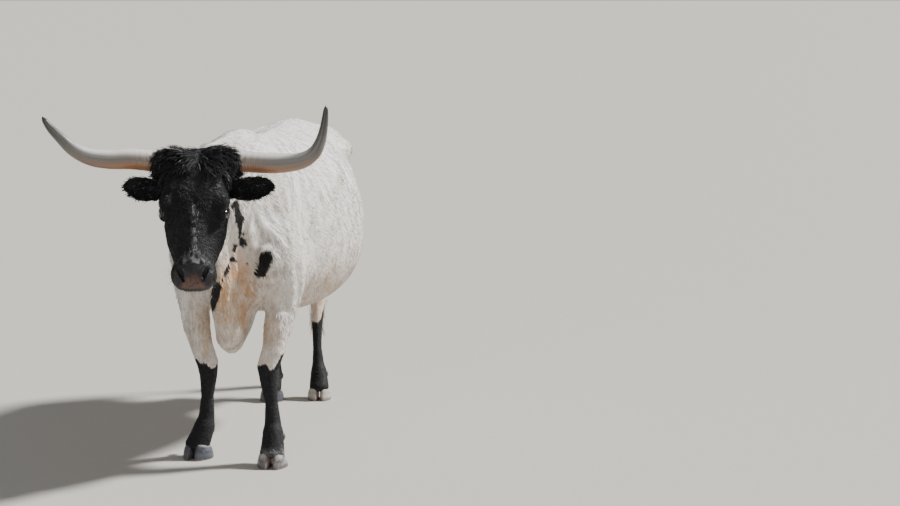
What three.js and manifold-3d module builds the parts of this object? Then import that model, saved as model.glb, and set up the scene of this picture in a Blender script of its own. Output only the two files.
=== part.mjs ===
// A still, life-size longhorn steer that stands square, its head turned a little to its left.
// Units are millimetres. The animal faces -Y, its left side is +X and its hooves stand on z = 0.
import * as THREE from "three";
import { mergeVertices } from "three/addons/utils/BufferGeometryUtils.js";
import Module from "manifold-3d";

const wasm = await Module();
wasm.setup();

// Driving dimensions
const WITHERS = 1378; // floor to the top of the shoulders
const FORE_STAGGER = 100; // the left fore foot stands this far ahead of the right one
const HIND_STAGGER = 60; // the left hind foot stands this far behind the right one
const HEAD_LENGTH = 515; // poll to muzzle
const HEAD_PLACE = new THREE.Vector3(-8, -565, 1320); // between the roots of the horns
const HEAD_YAW = THREE.MathUtils.degToRad(10); // turned to its left
const HEAD_PITCH = THREE.MathUtils.degToRad(62); // the face line below level
const EYE_RADIUS = 20;
const GAP = 0.3; // between nodes that meet on a plane
const SOCKET_GAP = 0.6; // round a node that sits in another
const SLIVER = 0.05; // detail smaller than this, left where cuts cross, is closed up
const HAIR_SLIVER = 1.5; // the same where locks cross

// The tables give the body in a unit of which the withers stand 102 up, and the head is 95.4 of its own long.
const BODY = WITHERS / 102;
const HEAD = HEAD_LENGTH / 95.4;

const COATS = {
  white_coat: { color: 0xe9e4dc, roughness: 0.85 },
  black_coat: { color: 0x17171a, roughness: 0.7 },
  horn: { color: 0xa59a86, roughness: 0.45 },
  hoof: { color: 0x8d8578, roughness: 0.6 },
  eye: { color: 0x120c09, roughness: 0.08 },
};

const vector = (x, y, z) => new THREE.Vector3(x, y, z);
const clamp = THREE.MathUtils.clamp;
const lerp = THREE.MathUtils.lerp;

// Forms: each is a function of a point that gives a rough distance to its surface, negative inside it.

// Two distances joined with a fillet of about `round`.
function blend(a, b, round) {
  const near = Math.max(round - Math.abs(a - b), 0) / round;
  return Math.min(a, b) - near * near * round * 0.25;
}

function joined(forms, round) {
  return (p) => forms.reduce((d, form) => blend(d, form(p), round), 1e6);
}

// A smooth curve through the stations' values of one key, along their `at`.
function curveThrough(stations, key) {
  const slope = stations.map((s, i) => {
    const a = stations[Math.max(i - 1, 0)];
    const b = stations[Math.min(i + 1, stations.length - 1)];
    return (b[key] - a[key]) / (b.at - a.at);
  });
  return (at) => {
    let i = 0;
    while (i < stations.length - 2 && at > stations[i + 1].at) i++;
    const a = stations[i];
    const b = stations[i + 1];
    const span = b.at - a.at;
    const t = clamp((at - a.at) / span, 0, 1);
    const t2 = t * t;
    const t3 = t2 * t;
    return (
      (2 * t3 - 3 * t2 + 1) * a[key] +
      (t3 - 2 * t2 + t) * span * slope[i] +
      (3 * t2 - 2 * t3) * b[key] +
      (t3 - t2) * span * slope[i + 1]
    );
  };
}

// A long body along Y. A station is [at, top, widest level, bottom, half width, boxiness above, boxiness below].
function lofted(stations, unit) {
  const rows = stations.map(([at, top, widest, bottom, half, above, below]) => ({
    at: at * unit,
    top: top * unit,
    widest: widest * unit,
    bottom: bottom * unit,
    half: half * unit,
    above,
    below,
  }));
  const keys = ["top", "widest", "bottom", "half", "above", "below"];
  const curve = Object.fromEntries(keys.map((key) => [key, curveThrough(rows, key)]));
  const first = rows[0].at;
  const last = rows[rows.length - 1].at;
  return (p) => {
    const at = clamp(p.y, first, last);
    const half = curve.half(at);
    const rise = p.z - curve.widest(at);
    const tall = rise > 0 ? curve.top(at) - curve.widest(at) : curve.widest(at) - curve.bottom(at);
    const boxiness = rise > 0 ? curve.above(at) : curve.below(at);
    const across = Math.pow(Math.abs(p.x) / half, boxiness);
    const upward = Math.pow(Math.abs(rise) / tall, boxiness);
    const inside = (Math.pow(across + upward, 1 / boxiness) - 1) * Math.min(half, tall);
    const past = Math.abs(p.y - at);
    return past > 0 ? Math.hypot(Math.max(inside, 0), past) : inside;
  };
}

function ellipsoid(middle, radii, turn = new THREE.Euler()) {
  const back = new THREE.Quaternion().setFromEuler(turn).invert();
  const least = Math.min(radii.x, radii.y, radii.z);
  const q = vector();
  return (p) => {
    q.subVectors(p, middle).applyQuaternion(back).divide(radii);
    return (q.length() - 1) * least;
  };
}

// A chain of tapering links. A joint is [x, y, z, radius across, radius fore and aft].
function limb(joints, unit) {
  const links = joints.slice(1).map((end, i) => {
    const [a, b] = [joints[i], end].map(([x, y, z]) => vector(x, y, z).multiplyScalar(unit));
    const along = vector().subVectors(b, a);
    const length = along.length();
    along.normalize();
    const aside = vector(1, 0, 0).addScaledVector(along, -along.x).normalize();
    return { a, along, length, aside, fore: vector().crossVectors(along, aside), from: joints[i], to: end };
  });
  const q = vector();
  return (p) => {
    let least = 1e6;
    for (const { a, along, length, aside, fore, from, to } of links) {
      q.subVectors(p, a);
      const t = clamp(q.dot(along) / length, 0, 1);
      q.addScaledVector(along, -length * t);
      const wide = lerp(from[3], to[3], t) * unit;
      const deep = lerp(from[4], to[4], t) * unit;
      const narrow = Math.min(wide, deep);
      const r = Math.hypot(q.dot(aside) / wide, q.dot(fore) / deep, q.dot(along) / narrow);
      least = Math.min(least, (r - 1) * narrow);
    }
    return least;
  };
}

// Solids

function solidOf(geometry) {
  const bare = geometry.clone();
  for (const name of Object.keys(bare.attributes)) if (name !== "position") bare.deleteAttribute(name);
  const merged = mergeVertices(bare, 1e-4);
  const made = new wasm.Manifold(
    new wasm.Mesh({
      numProp: 3,
      vertProperties: new Float32Array(merged.attributes.position.array),
      triVerts: new Uint32Array(merged.index.array),
    }),
  );
  if (made.volume() >= 0) return made;
  const turned = new Uint32Array(merged.index.array).reverse();
  const vertProperties = new Float32Array(merged.attributes.position.array);
  return new wasm.Manifold(new wasm.Mesh({ numProp: 3, vertProperties, triVerts: turned }));
}

function geometryOf(solid) {
  const { vertProperties, triVerts, numProp, numVert } = solid.getMesh();
  const places = new Float32Array(numVert * 3);
  for (let i = 0; i < numVert; i++) places.set(vertProperties.subarray(i * numProp, i * numProp + 3), i * 3);
  const geometry = new THREE.BufferGeometry();
  geometry.setAttribute("position", new THREE.BufferAttribute(places, 3));
  geometry.setIndex(new THREE.BufferAttribute(new Uint32Array(triVerts), 1));
  return geometry;
}

const largest = (solid) => solid.decompose().reduce((a, b) => (b.volume() > a.volume() ? b : a));
const union = (solids) => solids.reduce((a, b) => a.add(b));

// Moves a point near a form's surface onto it, by no more than `most`.
function settle(form, p, most) {
  const step = 0.5;
  const start = p.clone();
  const q = vector();
  for (let i = 0; i < 3; i++) {
    const value = form(p);
    const slope = vector(
      form(q.copy(p).setX(p.x + step)) - value,
      form(q.copy(p).setY(p.y + step)) - value,
      form(q.copy(p).setZ(p.z + step)) - value,
    ).divideScalar(step);
    p.addScaledVector(slope, -value / Math.max(slope.lengthSq(), 0.1));
  }
  const drift = q.subVectors(p, start).length();
  if (drift > most) p.copy(start).addScaledVector(q, most / drift);
}

// The surface of a form, as one vertex in each cell of a grid that it crosses, thinned where it is nearly flat.
function surfaced(form, low, high, cell, flatness) {
  const count = ["x", "y", "z"].map((k) => Math.ceil((high[k] - low[k]) / cell[k]) + 1);
  const [nx, ny, nz] = count;
  const index = (i, j, k) => (k * ny + j) * nx + i;
  const values = new Float32Array(nx * ny * nz);
  const p = vector();
  for (let k = 0; k < nz; k++)
    for (let j = 0; j < ny; j++)
      for (let i = 0; i < nx; i++) {
        p.set(low.x + i * cell.x, low.y + j * cell.y, low.z + k * cell.z);
        const onRim = i === 0 || j === 0 || k === 0 || i === nx - 1 || j === ny - 1 || k === nz - 1;
        const value = form(p);
        values[index(i, j, k)] = onRim ? Math.max(value, 1) : value;
      }
  const places = [];
  const vertexOf = new Map();
  for (let k = 0; k < nz - 1; k++)
    for (let j = 0; j < ny - 1; j++)
      for (let i = 0; i < nx - 1; i++) {
        const sum = vector();
        let crossings = 0;
        for (let axis = 0; axis < 3; axis++)
          for (let side = 0; side < 4; side++) {
            const a = [i, j, k];
            a[(axis + 1) % 3] += side & 1;
            a[(axis + 2) % 3] += side >> 1;
            const b = [...a];
            b[axis] += 1;
            const va = values[index(...a)];
            const vb = values[index(...b)];
            if (va < 0 === vb < 0) continue;
            const at = [...a];
            at[axis] += va / (va - vb);
            sum.add(vector(...at));
            crossings++;
          }
        if (!crossings) continue;
        sum.divideScalar(crossings).multiply(cell).add(low);
        settle(form, sum, Math.min(cell.x, cell.y, cell.z) * 0.45);
        vertexOf.set(index(i, j, k), places.length / 3);
        places.push(sum.x, sum.y, sum.z);
      }
  const triangles = [];
  for (let k = 0; k < nz - 1; k++)
    for (let j = 0; j < ny - 1; j++)
      for (let i = 0; i < nx - 1; i++)
        for (let axis = 0; axis < 3; axis++) {
          const next = [i, j, k];
          if (!next[(axis + 1) % 3] || !next[(axis + 2) % 3]) continue;
          next[axis] += 1;
          const inside = values[index(i, j, k)] < 0;
          if (inside === values[index(...next)] < 0) continue;
          const ring = [[0, 0], [1, 0], [1, 1], [0, 1]].map(([s, t]) => {
            const c = [i, j, k];
            c[(axis + 1) % 3] -= s;
            c[(axis + 2) % 3] -= t;
            return vertexOf.get(index(...c));
          });
          if (!inside) ring.reverse();
          triangles.push(ring[0], ring[1], ring[2], ring[0], ring[2], ring[3]);
        }
  const geometry = new THREE.BufferGeometry();
  geometry.setAttribute("position", new THREE.BufferAttribute(new Float32Array(places), 3));
  geometry.setIndex(triangles);
  return solidOf(geometry).simplify(flatness);
}

// A closed tube through rings of points, every ring with the same count, each end shut by a fan.
// On a leaf, the ring's second half is split into triangles like the first half, which it backs.
function skinned(rings, leaf = false) {
  const sides = rings[0].length;
  const middle = (ring) => ring.reduce((sum, p) => sum.add(p), vector()).divideScalar(sides);
  const places = [...rings.flat(), middle(rings[0]), middle(rings[rings.length - 1])];
  const triangles = [];
  for (let r = 0; r < rings.length - 1; r++)
    for (let s = 0; s < sides; s++) {
      const a = r * sides + s;
      const b = r * sides + ((s + 1) % sides);
      if (leaf && s >= sides / 2) triangles.push(a, b, a + sides, b, b + sides, a + sides);
      else triangles.push(a, b, b + sides, a, b + sides, a + sides);
    }
  const head = rings.length * sides;
  const last = (rings.length - 1) * sides;
  for (let s = 0; s < sides; s++) {
    const t = (s + 1) % sides;
    triangles.push(head, t, s, head + 1, last + s, last + t);
  }
  const geometry = new THREE.BufferGeometry().setFromPoints(places);
  geometry.setIndex(triangles);
  return solidOf(geometry);
}

// Rings of `sides` points round a smooth curve through the stations [x, y, z, radius], thicker by `more`.
function tapered(stations, sides, steps, more = 0) {
  const path = new THREE.CatmullRomCurve3(stations.map(([x, y, z]) => vector(x, y, z)), false, "centripetal");
  const girth = new THREE.CatmullRomCurve3(
    stations.map(([, , , radius], i) => vector(i, radius, 0)),
    false,
    "centripetal",
  );
  const frames = path.computeFrenetFrames(steps, false);
  const rings = [];
  for (let i = 0; i <= steps; i++) {
    const t = path.getUtoTmapping(i / steps);
    const middle = path.getPoint(t);
    if (i === 0) middle.addScaledVector(frames.tangents[i], -more);
    if (i === steps) middle.addScaledVector(frames.tangents[i], more);
    const radius = girth.getPoint(t).y + more;
    rings.push(
      Array.from({ length: sides }, (_, s) => {
        const turn = (s / sides) * 2 * Math.PI;
        return middle
          .clone()
          .addScaledVector(frames.normals[i], Math.cos(turn) * radius)
          .addScaledVector(frames.binormals[i], Math.sin(turn) * radius);
      }),
    );
  }
  return skinned(rings);
}

function boxBetween(low, high) {
  const size = vector().subVectors(high, low);
  const geometry = new THREE.BoxGeometry(size.x, size.y, size.z);
  return solidOf(geometry.translate((low.x + high.x) / 2, (low.y + high.y) / 2, (low.z + high.z) / 2));
}

function ball(radii, place, turn = new THREE.Euler(), around = 14, down = 9) {
  const matrix = new THREE.Matrix4().compose(place, new THREE.Quaternion().setFromEuler(turn), radii);
  return solidOf(new THREE.SphereGeometry(1, around, down).applyMatrix4(matrix));
}

// A flat lock of hair. Along its length each ring gives: how far along, lift, half width and half thickness.
const LOCK = [
  [-0.05, -0.5, 0.75, 0.9],
  [0.3, 0.55, 1, 1],
  [0.68, 1, 0.78, 0.8],
  [1, 0.3, 0.15, 0.25],
];
const LOCK_SECTION = [[1, 0], [0.4, 1], [-0.4, 1], [-1, 0], [0, -1]];

function lock(root, out, lie, { length, lift, wide, thick }) {
  const across = vector().crossVectors(out, lie).normalize();
  const rings = LOCK.map(([along, up, w, t]) => {
    const middle = root.clone().addScaledVector(lie, along * length).addScaledVector(out, up * lift);
    return LOCK_SECTION.map(([a, b]) =>
      middle.clone().addScaledVector(across, a * w * wide).addScaledVector(out, b * t * thick),
    );
  });
  return skinned(rings);
}

// A repeatable draw of numbers between -1 and 1.
function drawer(seed) {
  let state = seed;
  return () => {
    state = (state * 16807) % 2147483647;
    return (state / 2147483647) * 2 - 1;
  };
}

// Trunk, from the chest to the pin bones: the stations of a loft.
const TRUNK = [
  [-16, 81, 69, 58.5, 4.4, 2.1, 2.1],
  [-12.6, 90, 69, 51.5, 10, 2.1, 2.1],
  [-4.4, 99, 67, 47.4, 15, 2.1, 2.1],
  [6, 102.2, 66, 46.4, 17.8, 2.1, 2.1],
  [18.5, 101.4, 65, 44, 21.6, 2.1, 2.2],
  [37, 99.8, 64, 40.2, 27.2, 2.1, 2.2],
  [53, 100, 64.5, 38.2, 29.7, 2.1, 2.2],
  [67, 100.5, 66.5, 39.4, 29, 2.1, 2.2],
  [80, 101.4, 71, 49, 24.8, 2.1, 2.2],
  [92, 100.8, 75.6, 58, 20, 2.1, 2.2],
  [101.5, 97.6, 78.5, 65.2, 13.6, 2.1, 2.1],
  [106.6, 91.4, 80, 71.1, 6.4, 2.1, 2.1],
];

// Neck and dewlap: [x, y, z, half width, half depth].
const NECK = [
  [0, 2, 81.2, 12, 20.6],
  [0, -15, 86, 10, 17],
  [0, -28, 89.4, 8.6, 13],
  [0, -37.5, 91.8, 7.2, 9.6],
];
const DEWLAP = [
  [0, -31, 81, 3, 6.5],
  [0, -24.5, 70, 3.2, 9],
  [-0.1, -16.5, 59, 3.6, 9.5],
  [-0.3, -10.8, 49, 4.3, 8.4],
  [-0.6, -6.8, 41.6, 4.6, 7],
  [-0.4, 4, 44.6, 4.8, 6],
];

// One side's muscles that show on the trunk: [x, y, z] then radii [x, y, z], and the tilt about X in degrees.
const MUSCLES = [
  { name: "shoulder blade", at: [11.6, 3, 80], radii: [5.4, 10, 17.5], tilt: -18 },
  { name: "point of the shoulder", at: [13, -7.6, 66.5], radii: [5.8, 7, 9], tilt: 0 },
  { name: "upper arm", at: [15.2, 4.6, 60], radii: [5.2, 9.5, 12], tilt: 30 },
  { name: "hip bone", at: [17.4, 80.5, 91], radii: [5, 7, 4], tilt: 0 },
  { name: "rump", at: [10, 91, 88], radii: [9, 14, 10], tilt: -8 },
  { name: "thigh", at: [11.8, 88, 70], radii: [8, 14, 18], tilt: 12 },
  { name: "stifle", at: [15.4, 75.5, 58.5], radii: [5.4, 7, 8], tilt: 0 },
  { name: "pin bone", at: [7.6, 102.6, 86], radii: [3.6, 4.4, 5], tilt: 0 },
];

// A leg's joints from the top down: [y, z, half width, half depth], and how far out each stands on either side.
const FORELEG = [
  [5, 62, 5.8, 8],
  [4, 54, 5.3, 6.6],
  [2.4, 48, 4.9, 5.8],
  [0.4, 42.4, 4.5, 4.8],
  [-0.8, 36, 3.7, 3.9],
  [-1.2, 30.6, 3.45, 3.9],
  [-1.1, 26.4, 2.9, 3.1],
  [-0.6, 19.4, 2.15, 2.6],
  [-0.6, 12.6, 2.65, 3.1],
  [-1.4, 10, 3.3, 3.5],
  [-3.2, 6.6, 3.7, 3],
  [-4, 4, 4.1, 3.3],
];
const FORE_SET = {
  left: [14.2, 14.2, 13.6, 12.9, 11.9, 10.2, 10.4, 11.2, 11.6, 11.8, 12.1, 12.1],
  right: [13.8, 14.6, 14.5, 13.5, 11.9, 10.1, 9.9, 10.6, 11.2, 11.7, 12.6, 13.6],
};
const HINDLEG = [
  [79, 60, 6.6, 9.4],
  [85, 50, 4.9, 7.8],
  [89.6, 42.4, 3.5, 5],
  [92, 37.5, 3.2, 4.1],
  [90.8, 33, 2.7, 3.6],
  [88.2, 25, 1.95, 2.6],
  [86.6, 18, 1.75, 2.4],
  [85.4, 12.6, 2.2, 2.9],
  [84.6, 9.8, 2.9, 3.3],
  [82.6, 6.6, 3.4, 2.9],
  [81.4, 4.2, 3.7, 3.2],
];
const HIND_SET = {
  left: [13.4, 11.6, 8.8, 7.4, 7, 7.2, 7.5, 7.9, 8.2, 8.6, 8.9],
  right: [13.2, 11.2, 8.4, 7, 6.6, 6.7, 7, 7.2, 7.3, 7.5, 7.7],
};
const HOCK = [[-1.6, 9, 1.6, 2.2], [2.6, 3.4, 1.8, 2.2], [2, 0, 2, 2.6]]; // the point of the hock, from the fourth joint

// Head, in its own frame: the poll at 0, the muzzle towards -Y and the face up.
const SKULL = [
  [-95.4, -0.6, -3, -6, 7, 2.4, 2.4],
  [-93.2, 4, -2.6, -8.6, 12, 2.5, 2.4],
  [-88, 7.4, -2.6, -10.8, 15.2, 2.6, 2.4],
  [-82, 8.4, -3, -12, 15.3, 2.6, 2.4],
  [-76, 8.8, -4.6, -13.8, 14.4, 2.3, 2.4],
  [-69, 9.6, -7, -17.4, 16.4, 1.9, 2.4],
  [-60, 10.8, -8, -20.6, 19.6, 1.75, 2.4],
  [-50, 12.4, -6, -23, 21.4, 1.9, 2.4],
  [-40, 14.4, 0, -24.4, 20.8, 2.4, 2.4],
  [-31, 15.4, 3, -24, 21.6, 2.6, 2.4],
  [-20, 15, 3, -22, 23.4, 2.6, 2.4],
  [-9, 13.6, 2, -20, 23.2, 2.5, 2.4],
  [0, 10.4, 0, -17, 19.6, 2.4, 2.4],
  [5.2, 4, -3, -13, 13.4, 2.3, 2.4],
];
const EYE = vector(20.3, -42, 6.6); // the left one, in hundredths of the head's length

// From here on measured from between the roots of the horns, with level axes: [x, y, z, radius].
const HORNS = {
  left: [
    [95, 8, -4, 40],
    [177, 4, -3, 41],
    [282, -12, -7, 40],
    [360, -26, -4, 36],
    [415, -34, 9, 31],
    [452, -37, 37, 26],
    [474, -35, 78, 21],
    [487, -29, 130, 16],
    [494, -21, 185, 11],
    [496, -17, 214, 7.5],
  ],
  right: [
    [-85, 8, 0, 40],
    [-157, 4, 2, 41],
    [-249, -9, 11, 40],
    [-330, -22, 11, 37],
    [-400, -31, 22, 32.5],
    [-458, -35, 50, 27],
    [-505, -36, 94, 21.5],
    [-542, -33, 131, 16],
    [-565, -29, 162, 10.5],
    [-573, -27, 175, 7.5],
  ],
};
// An ear's stations: [x, y, z, half height, hollow], for the left one; the right one reaches less far.
const EAR = [
  [82, -36, -112, 24, 8],
  [120, -38, -108, 30, 12],
  [155, -42, -102, 38, 17],
  [195, -44, -100, 45, 21],
  [238, -42, -97, 45, 20],
  [268, -39, -93, 37, 15],
  [290, -35, -92, 24, 9],
  [304, -32, -93, 10, 4],
];
const EAR_REACH = { left: 0.97, right: 0.9 };

const headMatrix = new THREE.Matrix4().compose(
  HEAD_PLACE,
  new THREE.Quaternion().setFromEuler(new THREE.Euler(HEAD_PITCH, 0, HEAD_YAW, "ZXY")),
  vector(1, 1, 1),
);
const intoHead = headMatrix.clone().invert();
const levelInHead = new THREE.Matrix4().makeRotationX(-HEAD_PITCH);

const sides = [
  { name: "left", s: 1 },
  { name: "right", s: -1 },
];

function muscle({ at, radii, tilt }, s) {
  const place = vector(at[0] * s, at[1], at[2]).multiplyScalar(BODY);
  const turn = new THREE.Euler(THREE.MathUtils.degToRad(tilt), 0, 0);
  return ellipsoid(place, vector(...radii).multiplyScalar(BODY), turn);
}

// A leg's foot is set `ahead` of its usual place, and what is above slides back as it nears the body.
function legOf(joints, set, s, ahead) {
  const top = joints[0][1];
  const toe = joints[joints.length - 1][1];
  return joints.map(([y, z, wide, deep], i) => {
    const low = clamp((top - z) / (top - toe), 0, 1);
    return [s * set[i], y - (ahead / BODY) * low, z, wide, deep];
  });
}

const foreJoints = {};
const hindJoints = {};
for (const { name, s } of sides) {
  foreJoints[name] = legOf(FORELEG, FORE_SET[name], s, (s * FORE_STAGGER) / 2);
  hindJoints[name] = legOf(HINDLEG, HIND_SET[name], s, (-s * HIND_STAGGER) / 2);
}

function hockForm(name) {
  const [x, y, z] = hindJoints[name][3];
  return limb(HOCK.map(([back, up, wide, deep]) => [x, y + back, z + up, wide, deep]), BODY);
}

const trunkForm = joined(
  [
    lofted(TRUNK, BODY),
    ...sides.flatMap(({ s }) => MUSCLES.map((m) => muscle(m, s))),
  ],
  3 * BODY,
);
const legForms = joined(
  sides.flatMap(({ name }) => [limb(foreJoints[name], BODY), limb(hindJoints[name], BODY), hockForm(name)]),
  1.8 * BODY,
);
const neckForm = joined([limb(NECK, BODY), limb(DEWLAP, BODY)], 3.4 * BODY);

const skullForm = (() => {
  const at = (x, y, z) => vector(x, y, z).multiplyScalar(HEAD);
  const perSide = sides.flatMap(({ s }) => [
    ellipsoid(at(19.2 * s, -34.4, 9.2), at(5.2, 6.4, 4.6)), // brow
    ellipsoid(at(16.4 * s, -38, -12), at(5.6, 15, 9.5)), // cheek
    ellipsoid(at(EYE.x * s, EYE.y, EYE.z), at(3.4, 4.6, 3.4)), // round the eye
    ellipsoid(at(9.6 * s, -84, -1), at(5.4, 7, 6)), // nostril wing
    limb([[10 * s, -2, 2, 8, 8], [22.6 * s, -1.8, 0, 9.2, 9.2]], HEAD), // horn boss
  ]);
  const chin = ellipsoid(at(0, -82.5, -9), at(8, 7.5, 4));
  const nose = limb([[0, -45, 9, 6, 5], [0, -77, 4.6, 6, 3.6]], HEAD);
  return joined([lofted(SKULL, HEAD), ...perSide, chin, nose], 3 * HEAD);
})();

const inHead = vector();
const flesh = (p) => {
  const body = blend(blend(trunkForm(p), legForms(p), 3.2 * BODY), neckForm(p), 5 * BODY);
  inHead.copy(p).applyMatrix4(intoHead);
  return blend(body, skullForm(inHead), 3.4 * BODY);
};
const inBody = vector();
const fleshInHead = (p) => flesh(inBody.copy(p).applyMatrix4(headMatrix));

// Where the nodes of flesh part: planes, given by a normal and a point, and boxes round the legs.
const NECK_BASE = { normal: vector(0, -0.931, 0.364), point: vector(0, -45, 1340) };
const HEAD_BACK = {
  normal: vector(0, -0.985, 0.174).applyMatrix4(levelInHead),
  point: vector(0, 60, -50).applyMatrix4(levelInHead),
};
const ELBOW_LEVEL = 650;
const KNEE_LEVEL = 31.4 * BODY;
const GROIN_LEVEL = 770;
const HOCK_LEVEL = 36 * BODY;

function kept(solid, { normal, point }, gap = GAP / 2) {
  return solid.trimByPlane([normal.x, normal.y, normal.z], normal.dot(point) + gap);
}
const opposite = ({ normal, point }) => ({ normal: normal.clone().negate(), point });

function inWorld({ normal, point }) {
  return {
    normal: normal.clone().transformDirection(headMatrix),
    point: point.clone().applyMatrix4(headMatrix),
  };
}

// The block that holds one leg, as far as it is its own node.
function legBlock(leg, s, near, far, front, back, top) {
  const low = vector(Math.min(s * near, s * far), front, -20);
  return { leg, low, high: vector(Math.max(s * near, s * far), back, top) };
}
const legBoxes = sides.flatMap(({ name, s }) => [
  legBlock(`foreleg_${name}`, s, 78, 430, -270, 190, ELBOW_LEVEL),
  legBlock(`hindleg_${name}`, s, 0, 430, 1010, 1620, GROIN_LEVEL),
]);

function grown({ low, high }, by) {
  const more = vector(by, by, by);
  return boxBetween(low.clone().sub(more), high.clone().add(more));
}

const nodes = { body: new THREE.Group(), head: new THREE.Group() };
nodes.head.position.copy(HEAD_PLACE);
nodes.head.rotation.set(HEAD_PITCH, 0, HEAD_YAW, "ZXY");

function addNode(group, name, solid, coat) {
  const geometry = geometryOf(largest(solid).simplify(SLIVER)).toNonIndexed();
  geometry.computeVertexNormals();
  const mesh = new THREE.Mesh(geometry, new THREE.MeshStandardMaterial(COATS[coat]));
  mesh.name = name;
  group.add(mesh);
}

// How far out from `from` the form's surface lies, for points `from` inside it.
function reach(form, from, direction, far = 600) {
  let near = 0;
  const p = vector();
  for (let i = 0; i < 40; i++) {
    const t = (near + far) / 2;
    p.copy(from).addScaledVector(direction, t);
    if (form(p) < 0) near = t;
    else far = t;
  }
  return from.clone().addScaledVector(direction, near);
}

const level = (place) => place.applyMatrix4(levelInHead);
const levelStations = (stations) =>
  stations.map(([x, y, z, ...more]) => [...level(vector(x, y, z)).toArray(), ...more]);

// Soft locks round an ear's rim: how far out along the ear, and whether below, above or at the tip.
const EAR_FRINGE = [
  { at: 0.36, edge: -1 },
  { at: 0.52, edge: -1 },
  { at: 0.68, edge: -1 },
  { at: 0.8, edge: -0.5 },
  { at: 0.76, edge: 0.6 },
];
const EAR_LOCK = { length: 50, lift: 4, wide: 18, thick: 4 };

const horn = (name, more = 0) => tapered(levelStations(HORNS[name]), 9, 17, more);

function earCurves({ name, s }) {
  const out = s * EAR_REACH[name];
  const path = new THREE.CatmullRomCurve3(EAR.map(([x, y, z]) => vector(x * out, y, z)), false, "centripetal");
  const size = new THREE.CatmullRomCurve3(EAR.map(([x, , , half, hollow]) => vector(x, half, hollow)));
  return { path, size };
}

// An ear is a hollow leaf: each ring runs down its back and up its front.
function ear(side, more = 0) {
  const steps = 12;
  const across = 5;
  const thick = 6 + 4 * more;
  const { s } = side;
  const { path, size } = earCurves(side);
  const rings = [];
  for (let i = 0; i <= steps; i++) {
    const middle = path.getPoint(i / steps);
    if (i === 0) middle.x -= s * 3 * more;
    const { y: half, z: hollow } = size.getPoint(i / steps);
    const ring = [];
    for (const face of [1, -1])
      for (let j = 0; j < across; j++) {
        const t = face * (1 - (2 * j) / (across - 1));
        const rise = (half + more) * t;
        const bow = hollow * (1 - 2 * (rise / half) ** 2);
        const rim = Math.min(thick, half * 0.6) * (1 - 0.55 * t * t);
        ring.push(level(vector(0, bow + face * rim, rise).add(middle)));
      }
    rings.push(ring);
  }
  return skinned(rings, true);
}

function earFringe(side) {
  const { path, size } = earCurves(side);
  const front = level(vector(0, -1, 0));
  const locks = EAR_FRINGE.map(({ at, edge }) => {
    const { y: half, z: hollow } = size.getPoint(at);
    const bow = hollow * (1 - 2 * (0.6 * edge) ** 2);
    const root = level(vector(0, bow, half * 0.6 * edge).add(path.getPoint(at)));
    const lie = level(vector(side.s, 0, edge * 0.4 - 0.08).normalize());
    return lock(root, front, lie, EAR_LOCK);
  });
  return union(locks);
}

const eyePlace = (s) => vector(EYE.x * s, EYE.y, EYE.z).multiplyScalar(HEAD);
const round = (radius) => vector(radius, radius, radius);
const eye = (s, more = 0) => ball(round(EYE_RADIUS + more), eyePlace(s), undefined, 12, 7);

// The lids are a shell over the eye, open at an almond: the lens that two balls share.
const LIDS = { thick: 4, longer: 5, half: 13, radius: 27, ahead: 16 };

const lids = (s) => ball(round(EYE_RADIUS + LIDS.thick).setY(EYE_RADIUS + LIDS.thick + LIDS.longer), eyePlace(s));

function lidOpening(s) {
  const outward = vector(0.8 * s, -0.24, 0.55).normalize();
  const long = vector(0.12 * s, -0.95, -0.28).normalize();
  const across = vector().crossVectors(outward, long).normalize();
  const lens = [-1, 1].map((side) => {
    const aside = side * (LIDS.radius - LIDS.half);
    const place = eyePlace(s).addScaledVector(outward, LIDS.ahead).addScaledVector(across, aside);
    return ball(round(LIDS.radius), place, undefined, 16, 10);
  });
  return lens[0].intersect(lens[1]);
}

function nostril(s) {
  const path = [
    [14.2 * s, -80.5, 6.4, 5],
    [11.6 * s, -84.4, 6.6, 8],
    [8.6 * s, -88.6, 5, 8.5],
    [6.4 * s, -94.4, 0.6, 4.5],
  ];
  return tapered(path.map(([x, y, z, r]) => [x * HEAD, y * HEAD, z * HEAD, r]), 8, 8);
}

function mouth() {
  const turns = Array.from({ length: 11 }, (_, i) => ((i - 5) / 5) * 1.45);
  const path = turns.map((turn) => {
    const from = vector(0, -76 * HEAD, (-5.4 - 1.6 * Math.abs(Math.sin(turn))) * HEAD);
    const place = reach(skullForm, from, vector(Math.sin(turn), -Math.cos(turn), 0), 200);
    return [...place.toArray(), 4.5];
  });
  return tapered(path, 5, 24);
}

// Hair on the poll, in rows from the front to the back, combed to both sides of a parting.
const POLL_ROWS = [
  { y: -34, z: 10, up: [0, -0.5, 1], lie: [0.8, -0.4, -0.12], reach: 70, count: 4 },
  { y: -8, z: 0, up: [0, 0, 1], lie: [0.95, -0.1, 0.06], reach: 84, count: 5 },
  { y: 20, z: -6, up: [0, 0.4, 1], lie: [0.85, 0.35, -0.1], reach: 72, count: 4 },
];
const POLL_PARTING = 12;
const POLL_LOCK = { length: 72, lift: 21, wide: 30, thick: 12 };

function pollHair() {
  const draw = drawer(7);
  const locks = [];
  for (const { y, z, up, lie, reach: far, count } of POLL_ROWS)
    for (let i = 0; i < count; i++) {
      const x = lerp(-far, far, i / (count - 1)) + draw() * 4;
      const side = x > POLL_PARTING ? 1 : -1;
      const out = level(vector(...up).normalize());
      const from = level(vector(x, y, z));
      const size = 1 + 0.18 * draw();
      const along = level(vector(lie[0] * side, lie[1] + 0.2 * draw(), lie[2]).normalize());
      const { length, lift, wide, thick } = POLL_LOCK;
      const root = reach(fleshInHead, from, out, 200);
      locks.push(lock(root, out, along, { length: length * size, lift: lift * size, wide, thick }));
    }
  return union(locks);
}

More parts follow.
